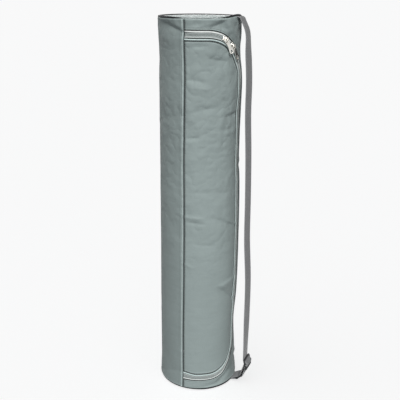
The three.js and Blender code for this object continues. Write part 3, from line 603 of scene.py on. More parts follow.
class BagShape:
    """The outer face of the cloth."""

    def __init__(self):
        sizes = settings("bag_sizes")
        self.height = sizes.height
        self.radius = sizes.radius
        self.lean = sizes.lean
        self.rim_lift = sizes.rim_lift

    @property
    def perimeter(self):
        return 2 * math.pi * self.radius

    def dents(self, angle, share):
        depth = 0
        for dent in DENTS:
            a = from_angle(angle, dent.angle) / dent.half_width
            h = (share - dent.height) / dent.half_height
            depth = depth + dent.depth * np.exp(-(a * a + h * h))
        return depth

    def creases(self, angle, share):
        rise = 0
        for crease in CREASES:
            round_bag = np.radians(from_angle(angle, crease.angle))
            up = (share - crease.height) * self.height / self.radius
            slope = math.radians(crease.slope)
            along = (round_bag * math.cos(slope) + up * math.sin(slope)) / (crease.length / 2)
            across = (up * math.cos(slope) - round_bag * math.sin(slope)) / crease.width
            wave = crease.depth * across * np.exp(0.5 - across * across)
            off_crest = np.sqrt(across * across + CREST_ROUND) - CREST_LEVEL
            edge = crease.edge * np.exp(-CREST_FALL * off_crest)
            rise = rise + (wave + edge) * np.exp(-(along**4))
        return rise

    def waves(self, angle, share):
        a = np.radians(angle)
        h = share * self.height / self.radius
        return sum(wave.rise * np.sin(wave.round_bag * a + wave.up * h + wave.start) for wave in WAVES)

    def place(self, distance, height, rise=0.0):
        """Points on the cloth at a distance round the bag from the seam and a height, out by rise."""
        distance, height, rise = np.broadcast_arrays(distance, height, rise)
        share = height / self.height
        rows = np.array(SECTIONS)
        turned = np.array(CLOTH_TURN)
        angle = np.degrees(distance / self.radius) + smooth_between(share, turned[:, 0], turned[:, 1])
        section = smooth_between(share, rows[:, 0], rows[:, 1])
        shift = smooth_between(share, rows[:, 0], rows[:, 2]) * self.radius
        fade = np.clip(np.minimum((1 - share) / FOLD_FADE, share / FOLD_FADE), 0, 1)
        detail = self.creases(angle, share) + self.waves(angle, share) - self.dents(angle, share)
        radius = self.radius * (section + fade * detail) + rise
        a = np.radians(angle)
        beside_strap = np.exp(-((from_angle(angle, LIFT_ANGLE) / LIFT_HALF_WIDTH) ** 2))
        lift = self.rim_lift * beside_strap * ease((share - LIFT_START) / LIFT_REACH)
        return np.stack(
            [
                radius * np.sin(a) + shift * math.sin(self.lean),
                -radius * np.cos(a) - shift * math.cos(self.lean),
                height + lift,
            ],
            axis=-1,
        )


class DoorOutline:
    """Stations along the door's free edge, from the top of the seam round to its bottom. At a distance out
    from the edge, each has a distance round the bag and a height."""

    def __init__(self, start):
        door = settings("door_sizes")
        bag = settings("bag_sizes")
        step = bag.mesh_step
        self.start = start
        self.top, self.bottom = bag.height - door.top_margin, door.bottom
        self.top_corner, self.bottom_corner = door.top_corner, door.bottom_corner
        self.width = door.width
        self.sag, self.opening = door.sag, settings("zip_sizes").opening
        self.middle_top = (door.width - door.top_corner, self.top - door.top_corner)
        self.middle_bottom = (door.width - door.bottom_corner, door.bottom + door.bottom_corner)
        self.columns = round(door.width / step)
        top_steps = round(CORNER_POINTS * door.top_corner / step)
        bottom_steps = round(CORNER_POINTS * door.bottom_corner / step)
        self.top_turn = np.linspace(math.pi / 2, 0, top_steps + 1)
        self.bottom_turn = np.linspace(0, -math.pi / 2, bottom_steps + 1)
        straight = self.middle_top[1] - self.middle_bottom[1]
        self.side = np.linspace(self.middle_top[1], self.middle_bottom[1], round(straight / step) + 1)[1:-1]

    def across(self, right):
        """Distances from the seam to the right, closer together beside the seam."""
        beside = self.start + np.array(SEAM_DITCH)[:-1, 0]
        first = self.start + SEAM_DITCH[-1][0]
        share = np.linspace(0, 1, self.columns)
        right = np.asarray(right, float)[..., None]
        even = first + (right - first) * share
        return np.concatenate([np.broadcast_to(beside, even.shape[:-1] + beside.shape), even], axis=-1)

    def sides(self, out):
        """The free side and its two corners: distances round the bag and heights."""
        top_reach, bottom_reach = self.top_corner + out, self.bottom_corner + out
        distance = [
            self.middle_top[0] + top_reach * np.cos(self.top_turn),
            np.full(len(self.side), self.width + out),
            self.middle_bottom[0] + bottom_reach * np.cos(self.bottom_turn),
        ]
        height = [
            self.middle_top[1] + top_reach * np.sin(self.top_turn),
            self.side,
            self.middle_bottom[1] + bottom_reach * np.sin(self.bottom_turn),
        ]
        return np.concatenate(distance), np.concatenate(height)

    def whole(self, out):
        distance, height = self.sides(out)
        top = self.across(self.middle_top[0])[:-1]
        bottom = self.across(self.middle_bottom[0])[:-1][::-1]
        heights = [np.full(len(top), self.top + out), height, np.full(len(bottom), self.bottom - out)]
        distance = np.concatenate([top, distance, bottom])
        return distance, self.hung(distance, np.concatenate(heights), out)

    def several(self, outs, axis=0):
        """The whole edge at several distances out, one for each row of points or, with axis 1, column."""
        distances, heights = zip(*(self.whole(out) for out in outs))
        return np.stack(distances, axis=axis), np.stack(heights, axis=axis)

    def hung(self, distance, height, out=0.0):
        """Heights with the door's lower edge hanging down, which narrows the zip's opening there."""
        low = 1 - ease((height - self.bottom) / HANG_HEIGHT)
        along = HANG_AT_SEAM + (1 - HANG_AT_SEAM) * ease(distance / HANG_FULL)
        return height - self.sag * low * along * np.clip(1 - out / self.opening, 0, 1)


class Skin:
    """Grids of points that are sewn together into one mesh piece."""

    def __init__(self, name):
        self.name = name
        self.points, self.faces, self.uvs, self.wear_and_painted_light = [], [], [], []
        self.count = 0

    def add(self, points, uv, wear_and_painted_light=0.0, round_across=False, flip=False):
        """A grid of rows and columns, whose last column is joined to its first one where it goes round."""
        rows, columns = points.shape[:2]
        index = np.arange(rows * columns).reshape(rows, columns) + self.count
        if round_across:
            index = np.concatenate([index, index[:, :1]], axis=1)
        quads = np.stack([index[:-1, :-1], index[:-1, 1:], index[1:, 1:], index[1:, :-1]], axis=-1)
        quads = quads.reshape(-1, 4)
        self.faces.append(quads[:, ::-1] if flip else quads)
        self.points.append(points.reshape(-1, 3))
        self.uvs.append(np.broadcast_to(uv, (rows, columns, 2)).reshape(-1, 2))
        self.wear_and_painted_light.append(np.broadcast_to(wear_and_painted_light, (rows, columns)).reshape(-1))
        self.count += rows * columns

    def add_cap(self, ring, flip=False):
        """Closes a ring of an even number of points, which is already in the skin, with quads."""
        count = len(ring)
        half = count // 2
        quads = [[ring[k], ring[k + 1], ring[count - 2 - k], ring[count - 1 - k]] for k in range(half - 1)]
        quads = np.array(quads)
        self.faces.append(quads[:, ::-1] if flip else quads)

    def add_caps(self, rows, columns):
        """Closes both ends of a grid that goes round and is the first one in the skin."""
        for row in (0, rows - 1):
            start = row * columns
            self.add_cap(range(start, start + columns - columns % 2), flip=row == 0)

    def add_copies(self, shape, frames):
        """Copies of one small shape, each placed by three axes and an origin."""
        points, faces = shape
        copies = np.einsum("nij,pj->npi", frames[:, :, :3], points) + frames[:, None, :, 3]
        offsets = (np.arange(len(frames)) * len(points) + self.count)[:, None, None]
        total = len(frames) * len(points)
        self.faces.append((faces[None] + offsets).reshape(-1, 4))
        self.points.append(copies.reshape(-1, 3))
        self.uvs.append(np.zeros((total, 2)))
        self.wear_and_painted_light.append(np.zeros(total))
        self.count += total

    def build(self, sewn=True):
        mesh = bpy.data.meshes.new(self.name)
        mesh.from_pydata(np.concatenate(self.points).tolist(), [], np.concatenate(self.faces).tolist())
        corners = np.zeros(len(mesh.loops), np.int32)
        mesh.loops.foreach_get("vertex_index", corners)
        layer = mesh.uv_layers.new(name="Cloth")
        layer.data.foreach_set("uv", np.concatenate(self.uvs)[corners].astype(np.float32).ravel())
        wear_and_painted_light = mesh.attributes.new("wear_and_painted_light", "FLOAT", "POINT")
        wear_and_painted_light.data.foreach_set("value", np.concatenate(self.wear_and_painted_light).astype(np.float32))
        if sewn:
            shaped = bmesh.new()
            shaped.from_mesh(mesh)
            bmesh.ops.remove_doubles(shaped, verts=shaped.verts, dist=SEWN_WITHIN)
            shaped.to_mesh(mesh)
            shaped.free()
        mesh.shade_smooth()
        piece = bpy.data.objects.new(self.name, mesh)
        bpy.context.scene.collection.objects.link(piece)
        return piece


def dress(piece, material, slot, *nodes, body="bag"):
    piece.data.materials.clear()
    piece.data.materials.append(material)
    if nodes:
        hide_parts(*nodes)
    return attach(piece, body)


def small_bar(half_length, half_width, half_height):
    """A rounded bar with six sides along its first axis, as points and faces."""
    points = []
    for along, size in BAR_RINGS:
        for k in range(BAR_SIDES):
            a = math.radians(60 * k + 30)
            across, up = size * half_width * math.cos(a), size * half_height * math.sin(a)
            points.append((along * half_length, across, up))
    faces = []
    last = BAR_SIDES * (len(BAR_RINGS) - 1)
    for ring in range(0, last, BAR_SIDES):
        for k in range(BAR_SIDES):
            a, b = ring + k, ring + (k + 1) % BAR_SIDES
            faces.append((a, b, b + BAR_SIDES, a + BAR_SIDES))
    faces += [(3, 2, 1, 0), (5, 4, 3, 0)]
    for order in ((0, 1, 2, 3), (0, 3, 4, 5)):
        faces.append(tuple(last + k for k in order))
    return np.array(points), np.array(faces)


def along_line(points, pitch, start=0.0):
    """Evenly spaced places along a line of points, and the way there."""
    steps = np.linalg.norm(np.diff(points, axis=0), axis=1)
    reach = np.concatenate([[0], np.cumsum(steps)])
    room = reach[-1] - start
    count = max(1, round(room / pitch))
    at = start + (np.arange(count) + 0.5) * room / count
    place, ahead, behind = (
        np.stack([np.interp(at + offset, reach, points[:, k]) for k in range(3)], axis=-1)
        for offset in (0, pitch / 4, -pitch / 4)
    )
    way = ahead - behind
    return place, way / np.linalg.norm(way, axis=1, keepdims=True)


def frames_on(place, way, out):
    """Frames whose first axis is the way and whose third one is near out."""
    side = np.cross(out, way)
    side = side / np.linalg.norm(side, axis=1, keepdims=True)
    return np.stack([way, side, np.cross(way, side), place], axis=-1)


def outward(place):
    flat = place * np.array([1.0, 1.0, 0.0])
    return flat / np.linalg.norm(flat, axis=1, keepdims=True)


# Cloth


def beside_seam(distance, perimeter, column):
    """The rise (column 1) or painted highlight and shade (column 2) of the cloth by the lapped seam, at a
    distance round the bag.
    """
    lap = np.array(SEAM_LAP)
    ditch = np.array(SEAM_DITCH)
    left = np.interp(distance - perimeter, lap[:, 0], lap[:, column], left=0, right=0)
    right = np.interp(distance, ditch[:, 0], ditch[:, column], left=0, right=0)
    return np.where(distance > perimeter / 2, left, right)


def strap_side(distance, height):
    """One where the door's free side turns away towards the strap and lies in the dark, fading to zero."""
    door = settings("door_sizes")
    near_edge = ease((distance - door.width + SIDE_WIDTH) / SIDE_WIDTH)
    return near_edge * ease((SIDE_TOP - height) / SIDE_FADE)


def make_wall():
    """The cloth tube, with its lapped seam, its folded rims and the folded edge round the zip."""
    bag, door, zipper = settings("bag_sizes"), settings("door_sizes"), settings("zip_sizes")
    shape = BagShape()
    outline = DoorOutline(0.0)
    reach = zipper.opening + door.border
    left, height = outline.sides(reach)
    end = shape.perimeter + SEAM_LAP[0][0]
    count = round((shape.perimeter - outline.width) / bag.mesh_step)
    share = np.linspace(0, 1, count)
    lap = np.array(SEAM_LAP)[1:, 0] + shape.perimeter
    distance = np.concatenate(
        [left[:, None] + (end - left[:, None]) * share, np.broadcast_to(lap, (len(left), len(lap)))], axis=1
    )
    height = np.broadcast_to(height[:, None], distance.shape)
    skin = Skin("wall_cloth")

    def add(distance, height, rise=0.0, wear_and_painted_light=0.0, flip=False):
        rise = rise + beside_seam(distance, shape.perimeter, 1)
        wear_and_painted_light = wear_and_painted_light + beside_seam(distance, shape.perimeter, 2)
        # Painted shade: the wall left of the seam, a band beside the zip's free side, the hollow under its
        # corner.
        before_seam = (shape.perimeter - distance) / bag.radius
        left = (1 - ease((before_seam - LEFT_REACH) / LEFT_FADE)) * (distance > shape.perimeter / 2)
        wear_and_painted_light = wear_and_painted_light - LEFT_SHADE * left
        angle = distance / bag.radius
        wear_and_painted_light = wear_and_painted_light - BAND_SHADE * np.exp(-(((angle - BAND_MIDDLE) / BAND_HALF_WIDTH) ** 2))
        across = (angle - HOLLOW_MIDDLE) / HOLLOW_HALF_WIDTH
        up = (height - HOLLOW_HEIGHT) / HOLLOW_HALF_HEIGHT
        wear_and_painted_light = wear_and_painted_light - HOLLOW_SHADE * np.exp(-(across**2 + up**2))
        skin.add(shape.place(distance, height, rise), np.stack([distance, height], -1), wear_and_painted_light, flip=flip)

    add(distance, height, flip=True)
    for row, middle, profile in ((0, outline.middle_top, TOP_RIM), (-1, outline.middle_bottom, BASE_RIM)):
        whole = np.concatenate([outline.across(middle[0])[:-1], distance[row]])
        steps = np.array(profile)
        offset, rise, wear_and_painted_light = steps[:, 0], steps[:, 1], steps[:, 2]
        heights = bag.height - offset if row == 0 else offset
        first = height[row, 0]
        heights = np.concatenate([[first], heights])
        rise = np.concatenate([[0.0], rise])
        wear_and_painted_light = np.concatenate([[0.0], wear_and_painted_light])
        grid = np.broadcast_arrays(whole[None, :], heights[:, None])
        add(grid[0], grid[1], rise[:, None], wear_and_painted_light[:, None], flip=row == -1)
    edge = np.array(WALL_EDGE)
    distance, height = outline.several(zipper.opening + edge[:, 0])
    add(distance, height, edge[:, 1:2], edge[:, 2:3])
    return dress(skin.build(), cloth_material(), "cloth", "wall_panel")


def make_door():
    """The door's cloth, with the stitched ditch inside its hem, and the raised hem round it."""
    bag, door = settings("bag_sizes"), settings("door_sizes")
    shape = BagShape()
    outline = DoorOutline(bag.gap)
    right, height = outline.sides(-door.border)
    distance = outline.across(right)
    height = outline.hung(distance, height[:, None])
    skin = Skin("door_cloth")

    def add(distance, height, rise=0.0, wear_and_painted_light=0.0, flip=False):
        rise = rise + beside_seam(distance, shape.perimeter, 1)
        wear_and_painted_light = wear_and_painted_light + beside_seam(distance, shape.perimeter, 2)
        # Painted shade along the door's free side, darker low down where it turns from the light.
        to_side = np.clip(door.width - distance, 0, None)
        shade = SIDE_SHADE + SIDE_SHADE_LOW * strap_side(door.width, height)
        wear_and_painted_light = wear_and_painted_light - shade * np.exp(-to_side / SIDE_SHADE_REACH)
        skin.add(shape.place(distance, height, rise), np.stack([distance, height], -1), wear_and_painted_light, flip=flip)

    add(distance, height, flip=True)
    ditch = np.array(DOOR_DITCH)
    distance, height = outline.several(-ditch[:, 0])
    add(distance, height, ditch[:, 1:2], ditch[:, 2:3])
    cloth = dress(skin.build(), cloth_material(), "cloth", "door_panel")

    hem = Skin("door_hem_binding")
    profile = np.array(HEM_PROFILE)
    distance, height = outline.several(-profile[:, 0] * door.hem, axis=1)
    along = np.arange(len(distance))[:, None]
    swell = 1 + HEM_SWELL * np.sin(along * HEM_RIPPLE) * np.sin(along * HEM_LONG_RIPPLE + 1)
    rise = np.where(profile[:, 1] > 0, profile[:, 1] * door.hem_rise * swell, profile[:, 1] * bag.cloth)
    uv = np.stack([distance, height], -1)
    hem.add(shape.place(distance, height, rise), uv, profile[:, 2], round_across=True)
    hem.add_caps(*distance.shape)
    return cloth, dress(hem.build(), hem_material(), "cloth", "door_hem")


def make_zip():
    """The two tapes with their woven ribs and a painted highlight on their beads, and the teeth between them.
    """
    bag, door, zipper = settings("bag_sizes"), settings("door_sizes"), settings("zip_sizes")
    shape = BagShape()
    outline = DoorOutline(bag.gap)
    under = -bag.cloth - zipper.drop
    middle = zipper.opening / 2
    far = zipper.opening + zipper.overlap
    outer = (zipper.opening - zipper.bead_inset, zipper.bead, OUTER_BEAD)
    inner = (zipper.inner_inset, zipper.inner_bead, INNER_BEAD)
    tapes = (
        ("zip_tape_inner", -door.hem - zipper.overlap, middle - bag.gap / 2, inner, "zip_tape_door"),
        ("zip_tape_outer", middle + bag.gap / 2, far, outer, "zip_tape_wall"),
    )
    pieces = []
    for name, low, high, (bead_at, bead, bright), node in tapes:
        skin = Skin(name)
        out = np.linspace(low, high, round((high - low) / TAPE_STEP) + 1)
        to_edge = np.minimum(out, zipper.opening - out)
        ribs = RIB_RISE * np.sin((out - middle) * 2 * math.pi / RIB_PITCH)
        rise = under + zipper.raised * ease(to_edge / TAPE_SLOPE) + ribs
        across = (out - bead_at) / (bead / 2)
        rise = rise + BEAD_RISE * np.sqrt(np.clip(1 - across**2, 0, 1))
        # A painted highlight on the bead, and painted shade under the cloth's edges and in lines beside the
        # bead.
        wear_and_painted_light = bright * np.clip(BEAD_BRIGHT - BEAD_FALL * np.abs(across), 0, 1)
        wear_and_painted_light = wear_and_painted_light - np.clip((TAPE_SHADE_REACH - to_edge) / TAPE_SHADE_FADE, 0, 1)
        for line in (LINE_MIDDLE, -LINE_MIDDLE):
            wear_and_painted_light = wear_and_painted_light - LINE_SHADE * np.exp(-(((across - line) / LINE_WIDTH) ** 2))
        out = np.concatenate([[low], out, [high]])
        rise = np.concatenate([[under - zipper.tape], rise, [under - zipper.tape]])
        wear_and_painted_light = np.concatenate([[-1], wear_and_painted_light, [-1]])
        distance, height = outline.several(out, axis=1)
        # Painted shade low down and on the door's free side, which also dims the painted highlight there.
        low_down = 1 - ease((height - LOW_TAPE_HEIGHT) / LOW_TAPE_FADE)
        dimmed = np.where(wear_and_painted_light > 0, wear_and_painted_light * (1 - LOW_BEAD_DIM * low_down), wear_and_painted_light)
        wear_and_painted_light = dimmed - LOW_TAPE_SHADE * low_down * (1 - np.clip(wear_and_painted_light, 0, 1))
        side = strap_side(distance, height)
        wear_and_painted_light = np.where(wear_and_painted_light > 0, wear_and_painted_light * (1 - side), wear_and_painted_light) - SIDE_TAPE_SHADE * side
        along = np.broadcast_to(np.arange(len(distance))[:, None] * bag.mesh_step, distance.shape)
        uv = np.stack([np.broadcast_to(out, distance.shape), along], -1)
        skin.add(shape.place(distance, height, rise), uv, wear_and_painted_light, round_across=True)
        skin.add_caps(*distance.shape)
        pieces.append(dress(skin.build(), tape_material(), "zip_tape", node))
    teeth = Skin("zip_teeth")
    tooth = small_bar(
        zipper.tooth_length * TOOTH_HALF_LENGTH, zipper.tooth_pitch * TOOTH_HALF_WIDTH, TOOTH_HALF_HEIGHT
    )
    for hand, start in TOOTH_ROWS:
        distance, height = outline.whole(middle + hand * zipper.tooth_length / 4)
        line = shape.place(distance, height, under + TOOTH_RISE)
        place, way = along_line(line, zipper.tooth_pitch, start)
        frames = frames_on(place, way, outward(place))
        teeth.add_copies(tooth, frames[:, :, [1, 0, 2, 3]] * np.array([1, -1, 1, 1]))
    pieces.append(dress(teeth.build(sewn=False), teeth_material(), "zip_coil", "zip_coil"))
    return pieces


def make_ends():
    """The round panels at the top and the base, and the dark bindings that join them to the wall."""
    bag = settings("bag_sizes")
    shape = BagShape()
    r = bag.piping / 2
    around = round(shape.perimeter / bag.mesh_step)
    distance = np.arange(around) * shape.perimeter / around
    pieces = []
    for name, node, level, hand in (
        ("top_cloth", "top_panel", bag.height, 1),
        ("base_cloth", "base_panel", 0.0, -1),
    ):
        flat_level = level - hand * r
        edge = shape.place(distance, np.full(around, flat_level), -bag.piping - bag.gap)
        share = np.array(END_RINGS)
        grid = edge[None] * np.array([1.0, 1.0, 0.0]) * share[:, None, None]
        if hand > 0:
            lift = (edge[:, 2] - flat_level)[None] * share[:, None] ** 3
            dome = bag.dome * np.cos(share * math.pi / 2)
            tuck = -TUCK_DEPTH * np.exp(-(((1 - share) / TUCK_WIDTH) ** 2))
            height = bag.height - bag.dome - TOP_DROP + (dome + tuck)[:, None] + lift
            ripple = np.sin(grid[..., 0] * RIPPLE_RIGHT + grid[..., 1] * RIPPLE_BACK)
            height = height + END_RIPPLE * ripple * (1 - share[:, None] ** 4)
        else:
            arch = BASE_FOOT + BASE_ARCH * (1 - share) ** 0.5
            height = np.broadcast_to(arch[:, None], grid.shape[:2])
        grid[..., 2] = height
        skin = Skin(name)
        wear_and_painted_light = np.clip((share - END_WORN) / END_WORN_WIDTH, 0, 1)[:, None]
        skin.add(grid, grid[..., :2], wear_and_painted_light, True, flip=hand > 0)
        centre = np.array([[[0.0, 0.0, height[0].mean()]]])
        middle = np.concatenate([np.repeat(centre, around, axis=1), grid[:1]])
        skin.add(middle, middle[..., :2], 0.0, True, flip=hand > 0)
        pieces.append(dress(skin.build(), end_material(), "cloth", node))
    angle = np.degrees(distance / bag.radius)
    turn = np.linspace(0, 2 * math.pi, BINDING_SIDES + 1)[:-1]
    for name, node, level, hand, sizes in (
        ("top_binding", "top_piping", bag.height, 1, BINDING_SIZE),
        ("base_binding", "base_piping", 0.0, -1, BASE_BINDING_SIZE),
    ):
        centre = shape.place(distance, np.full(around, level - hand * r), -r)
        out = outward(centre)[:, None]
        table = np.array(sizes)
        swell = np.interp(angle, table[:, 0], table[:, 1])
        if hand < 0:
            centre[:, 2] += r * np.clip(swell - 1, 0, None)
        cosine, sine = np.cos(turn)[None, :, None], np.sin(turn)[None, :, None]
        section = cosine * out + sine * np.array([0, 0, 1.0])
        ring = centre[:, None] + (r * swell)[:, None, None] * section
        uv = np.stack(np.broadcast_arrays(distance[:, None], (turn * r)[None]), -1)
        skin = Skin(name)
        skin.add(np.concatenate([ring, ring[:1]]), np.concatenate([uv, uv[:1]]), round_across=True)
        pieces.append(dress(skin.build(), binding_material(), "piping", node))
    return pieces


# Webbing and fittings


def through_points(points, count):
    """Points on a smooth curve through a few points in a plane."""
    p = np.asarray(points, float)
    p = np.concatenate([[2 * p[0] - p[1]], p, [2 * p[-1] - p[-2]]])
    line = []
    for at in np.linspace(0, len(points) - 1, count):
        k = min(int(at), len(points) - 2)
        t = at - k
        a, b, c, d = p[k : k + 4]
        ab, bc, cd = (np.sqrt(np.linalg.norm(y - x)) for x, y in ((a, b), (b, c), (c, d)))
        start = ((b - a) / ab - (c - a) / (ab + bc) + (c - b) / bc) * bc
        end = ((c - b) / bc - (d - b) / (bc + cd) + (d - c) / cd) * bc
        ease_in, ease_out = 2 * t**3 - 3 * t**2 + 1, 3 * t**2 - 2 * t**3
        line.append(ease_in * b + ease_out * c + (t**3 - 2 * t**2 + t) * start + (t**3 - t**2) * end)
    return np.array(line)


Stop = namedtuple("Stop", "x z radius hand")


def stretch(a, b):
    """The straight stretch of a belt between two stops: its left side and its two ends."""
    start, end = np.array([a.x, a.z]), np.array([b.x, b.z])
    ra, rb = a.hand * a.radius, b.hand * b.radius
    between = end - start
    reach = np.linalg.norm(between)
    sway = -math.asin((rb - ra) / reach)
    way = between / reach
    cosine, sine = math.cos(sway), math.sin(sway)
    way = np.array([way[0] * cosine - way[1] * sine, way[0] * sine + way[1] * cosine])
    left = np.array([-way[1], way[0]])
    return left, start - left * ra, end - left * rb


def belt(stops, end=None):
    """The webbing's middle line, led round bars. Its hand is 1 where the bar is on the left."""
    stretches = [stretch(a, b) for a, b in zip(stops, stops[1:])]
    line = [stretches[0][1]]
    for i in range(1, len(stops)):
        stop = stops[i]
        arrival = stretches[i - 1][2]
        line.append(arrival)
        out = stretches[i][1] if i < len(stretches) else end
        if stop.radius == 0 or out is None:
            continue
        begin = math.atan2(arrival[1] - stop.z, arrival[0] - stop.x)
        angle = math.atan2(out[1] - stop.z, out[0] - stop.x) - begin
        while angle * stop.hand < 0:
            angle += stop.hand * 2 * math.pi
        count = max(1, math.ceil(abs(angle) / BAR_STEP))
        for k in range(1, count + 1):
            a = begin + angle * k / count
            line.append(np.array([stop.x + stop.radius * math.cos(a), stop.z + stop.radius * math.sin(a)]))
    return line


def evenly(line, pitch):
    """Points at an even pitch along a line, and how far along it each lies."""
    line = np.array(line)
    keep = np.concatenate([[True], np.linalg.norm(np.diff(line, axis=0), axis=1) > SAME_PLACE])
    line = line[keep]
    reach = np.concatenate([[0], np.cumsum(np.linalg.norm(np.diff(line, axis=0), axis=1))])
    at = np.linspace(0, reach[-1], round(reach[-1] / pitch) + 1)
    return np.stack([np.interp(at, reach, line[:, k]) for k in range(line.shape[1])], -1), at


def webbing(name, line, turned):
    """Webbing with rounded edges along a line in the plane of X and Z, turned about it by its height."""
    strap = settings("strap_sizes")
    line, at = evenly(line, WEBBING_STEP)
    way = np.gradient(line, axis=0)
    way = way / np.linalg.norm(way, axis=1, keepdims=True)
    normal = np.stack([-way[:, 1], way[:, 0]], -1)
    half, thick = strap.width / 2, strap.thickness / 2
    across, rise = np.array(WEBBING_SECTION).T
    across, rise = np.concatenate([across, -across[::-1]]), np.concatenate([rise, rise[::-1]])
    across = np.concatenate([across, across[::-1]]) * half
    rise = np.concatenate([rise, -rise[::-1]]) * thick
    points = np.empty((len(line), len(across), 3))
    points[..., 0] = line[:, None, 0] + normal[:, None, 0] * rise
    points[..., 0] += across * np.tan(turned(line[:, 1]))[:, None]
    points[..., 1] = across
    points[..., 2] = line[:, None, 1] + normal[:, None, 1] * rise
    uv = np.stack(np.broadcast_arrays(across[None], at[:, None]), -1)
    skin = Skin(name)
    wear_and_painted_light = np.clip((np.abs(across) / half - WEBBING_WORN) / WEBBING_WORN_WIDTH, 0, 1)[None]
    skin.add(points, uv, wear_and_painted_light, round_across=True)
    skin.add_caps(len(line), len(across))
    return skin


class StrapPath:
    """The bars that the strap is led round, and its middle line."""

    def __init__(self):
        bag, strap = settings("bag_sizes"), settings("strap_sizes")
        self.shape = BagShape()
        self.wrap = strap.bar / 2 + bag.gap + strap.thickness / 2
        self.layer = strap.thickness + bag.gap
        self.middle = np.array([bag.radius + strap.adjuster_stand_off, strap.adjuster_height])
        self.up = np.array([-math.sin(strap.adjuster_lean), math.cos(strap.adjuster_lean)])
        self.pitch = strap.adjuster_pitch
        self.ring_in = np.array([bag.radius + strap.ring_stand_off, strap.ring_height])
        self.ring_way = np.array([math.cos(strap.ring_lean), math.sin(strap.ring_lean)])
        self.ring_out = self.ring_in + strap.ring_pitch * self.ring_way

    def bar(self, k, radius, hand):
        """A stop at the adjuster's lower (-1), middle (0) or upper (1) bar."""
        x, z = self.middle + self.up * self.pitch * k
        return Stop(x, z, radius, hand)

    def free_run(self):
        """From the top seam down to the adjuster, where the strap hangs free."""
        bag, strap = settings("bag_sizes"), settings("strap_sizes")
        seam = bag.height - bag.piping - strap.thickness / 2
        quarter = bag.radius * math.pi / 2
        edge_point = self.shape.place(quarter, seam)
        edge, lift = edge_point[0] + bag.gap, edge_point[2] - seam
        start = edge + strap.root
        points = [(start, seam + lift)]
        for share in BEND_PLACES:
            a = math.pi / 2 * share
            drop = strap.bend * (1 - math.cos(a))
            points.append((start + strap.bend * math.sin(a), seam + lift - drop))
        for place in STRAP_RUN:
            points.append((bag.radius + place.stand_off * strap.slack, place.height * bag.height))
        root = [np.array([edge - UNDER_SEAM, seam + lift])]
        return root + list(through_points(points, LINE_POINTS))

    def whole(self):
        """The free run, then through the adjuster, round the ring and back to the adjuster's middle bar."""
        strap = settings("strap_sizes")
        run = self.free_run()
        last = Stop(run[-1][0], run[-1][1], 0, 1)
        end = self.middle + self.wrap * np.array([self.up[1], -self.up[0]]) - strap.tail * self.up
        stops = [
            last,
            self.bar(1, self.wrap, 1),
            self.bar(0, self.wrap + self.layer, -1),
            self.bar(-1, self.wrap, 1),
            Stop(self.ring_out[0], self.ring_out[1], self.wrap, -1),
            self.bar(-1, self.wrap + self.layer, -1),
            self.bar(0, self.wrap, -1),
        ]
        left, start, _ = stretch(stops[4], stops[6])
        away = float(np.dot(np.array([stops[5].x, stops[5].z]) - start, left))
        if away * stops[5].hand >= stops[5].radius:
            del stops[5]
        return run[:-1] + belt(stops, end)

    def tab(self):
        """From the base seam round the ring's inner bar and back."""
        bag, strap = settings("bag_sizes"), settings("strap_sizes")
        edge = self.shape.place(bag.radius * math.pi / 2, strap.tab_height)[0] + bag.gap
        stops = [
            Stop(edge, strap.tab_height, 0, 1),
            Stop(self.ring_in[0], self.ring_in[1], self.wrap, 1),
            Stop(edge, strap.tab_height + strap.tab_pitch, 0, 1),
        ]
        return belt(stops)


def make_strap():
    """The carrying strap as one length of webbing, and the short tab that holds its ring."""
    path = StrapPath()
    twist = settings("strap_sizes").twist

    def turned(height):
        return twist * ease((height - TWIST_LOW) / TWIST_IN) * ease((TWIST_HIGH - height) / TWIST_OUT)

    strap = webbing("strap_webbing", path.whole(), turned).build(sewn=False)
    tab = webbing("tab_webbing", path.tab(), np.zeros_like).build(sewn=False)
    return [
        dress(strap, webbing_material(), "webbing", "strap_top", "strap", "strap_loop"),
        dress(tab, webbing_material(), "webbing", "strap_tab"),
    ]


def refine(node, name, material, slot, body="bag"):
    """A copy of a hard piece with soft shading and rounded edges, which stands for it."""
    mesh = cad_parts[node].data.copy()
    mesh.name = name
    shaped = bmesh.new()
    shaped.from_mesh(mesh)
    bmesh.ops.remove_doubles(shaped, verts=shaped.verts, dist=SAME_PLACE)
    bmesh.ops.dissolve_limit(shaped, angle_limit=math.radians(1), verts=shaped.verts, edges=shaped.edges)
    shaped.to_mesh(mesh)
    shaped.free()
    mesh.shade_smooth()
    piece = bpy.data.objects.new(name, mesh)
    bpy.context.scene.collection.objects.link(piece)
    edges = piece.modifiers.new("Rounded edges", "BEVEL")
    edges.width = EDGE_WIDTH
    edges.segments = 2
    edges.limit_method = "ANGLE"
    edges.angle_limit = math.radians(EDGE_ANGLE)
    edges.harden_normals = True
    return dress(piece, material, slot, node, body=body)


def make_fittings():
    """The moulded adjuster and ring that the strap is led through."""
    return [
        refine("strap_adjuster", "adjuster_moulding", plastic_material(), "black_plastic"),
        refine("strap_ring", "ring_moulding", plastic_material(), "black_plastic"),
    ]


def make_sliders():
    """The two plated zip sliders and the pulls that hang on them."""
    pieces = []
    for side in ("upper", "lower"):
        slider, pull = f"zip_slider_{side}", f"zip_pull_{side}"
        pieces.append(refine(slider, f"slider_{side}", metal_material(), "zip_metal"))
        pieces.append(refine(pull, f"pull_{side}", metal_material(), "zip_metal", f"{side}_pull"))
    return pieces


# Stitching


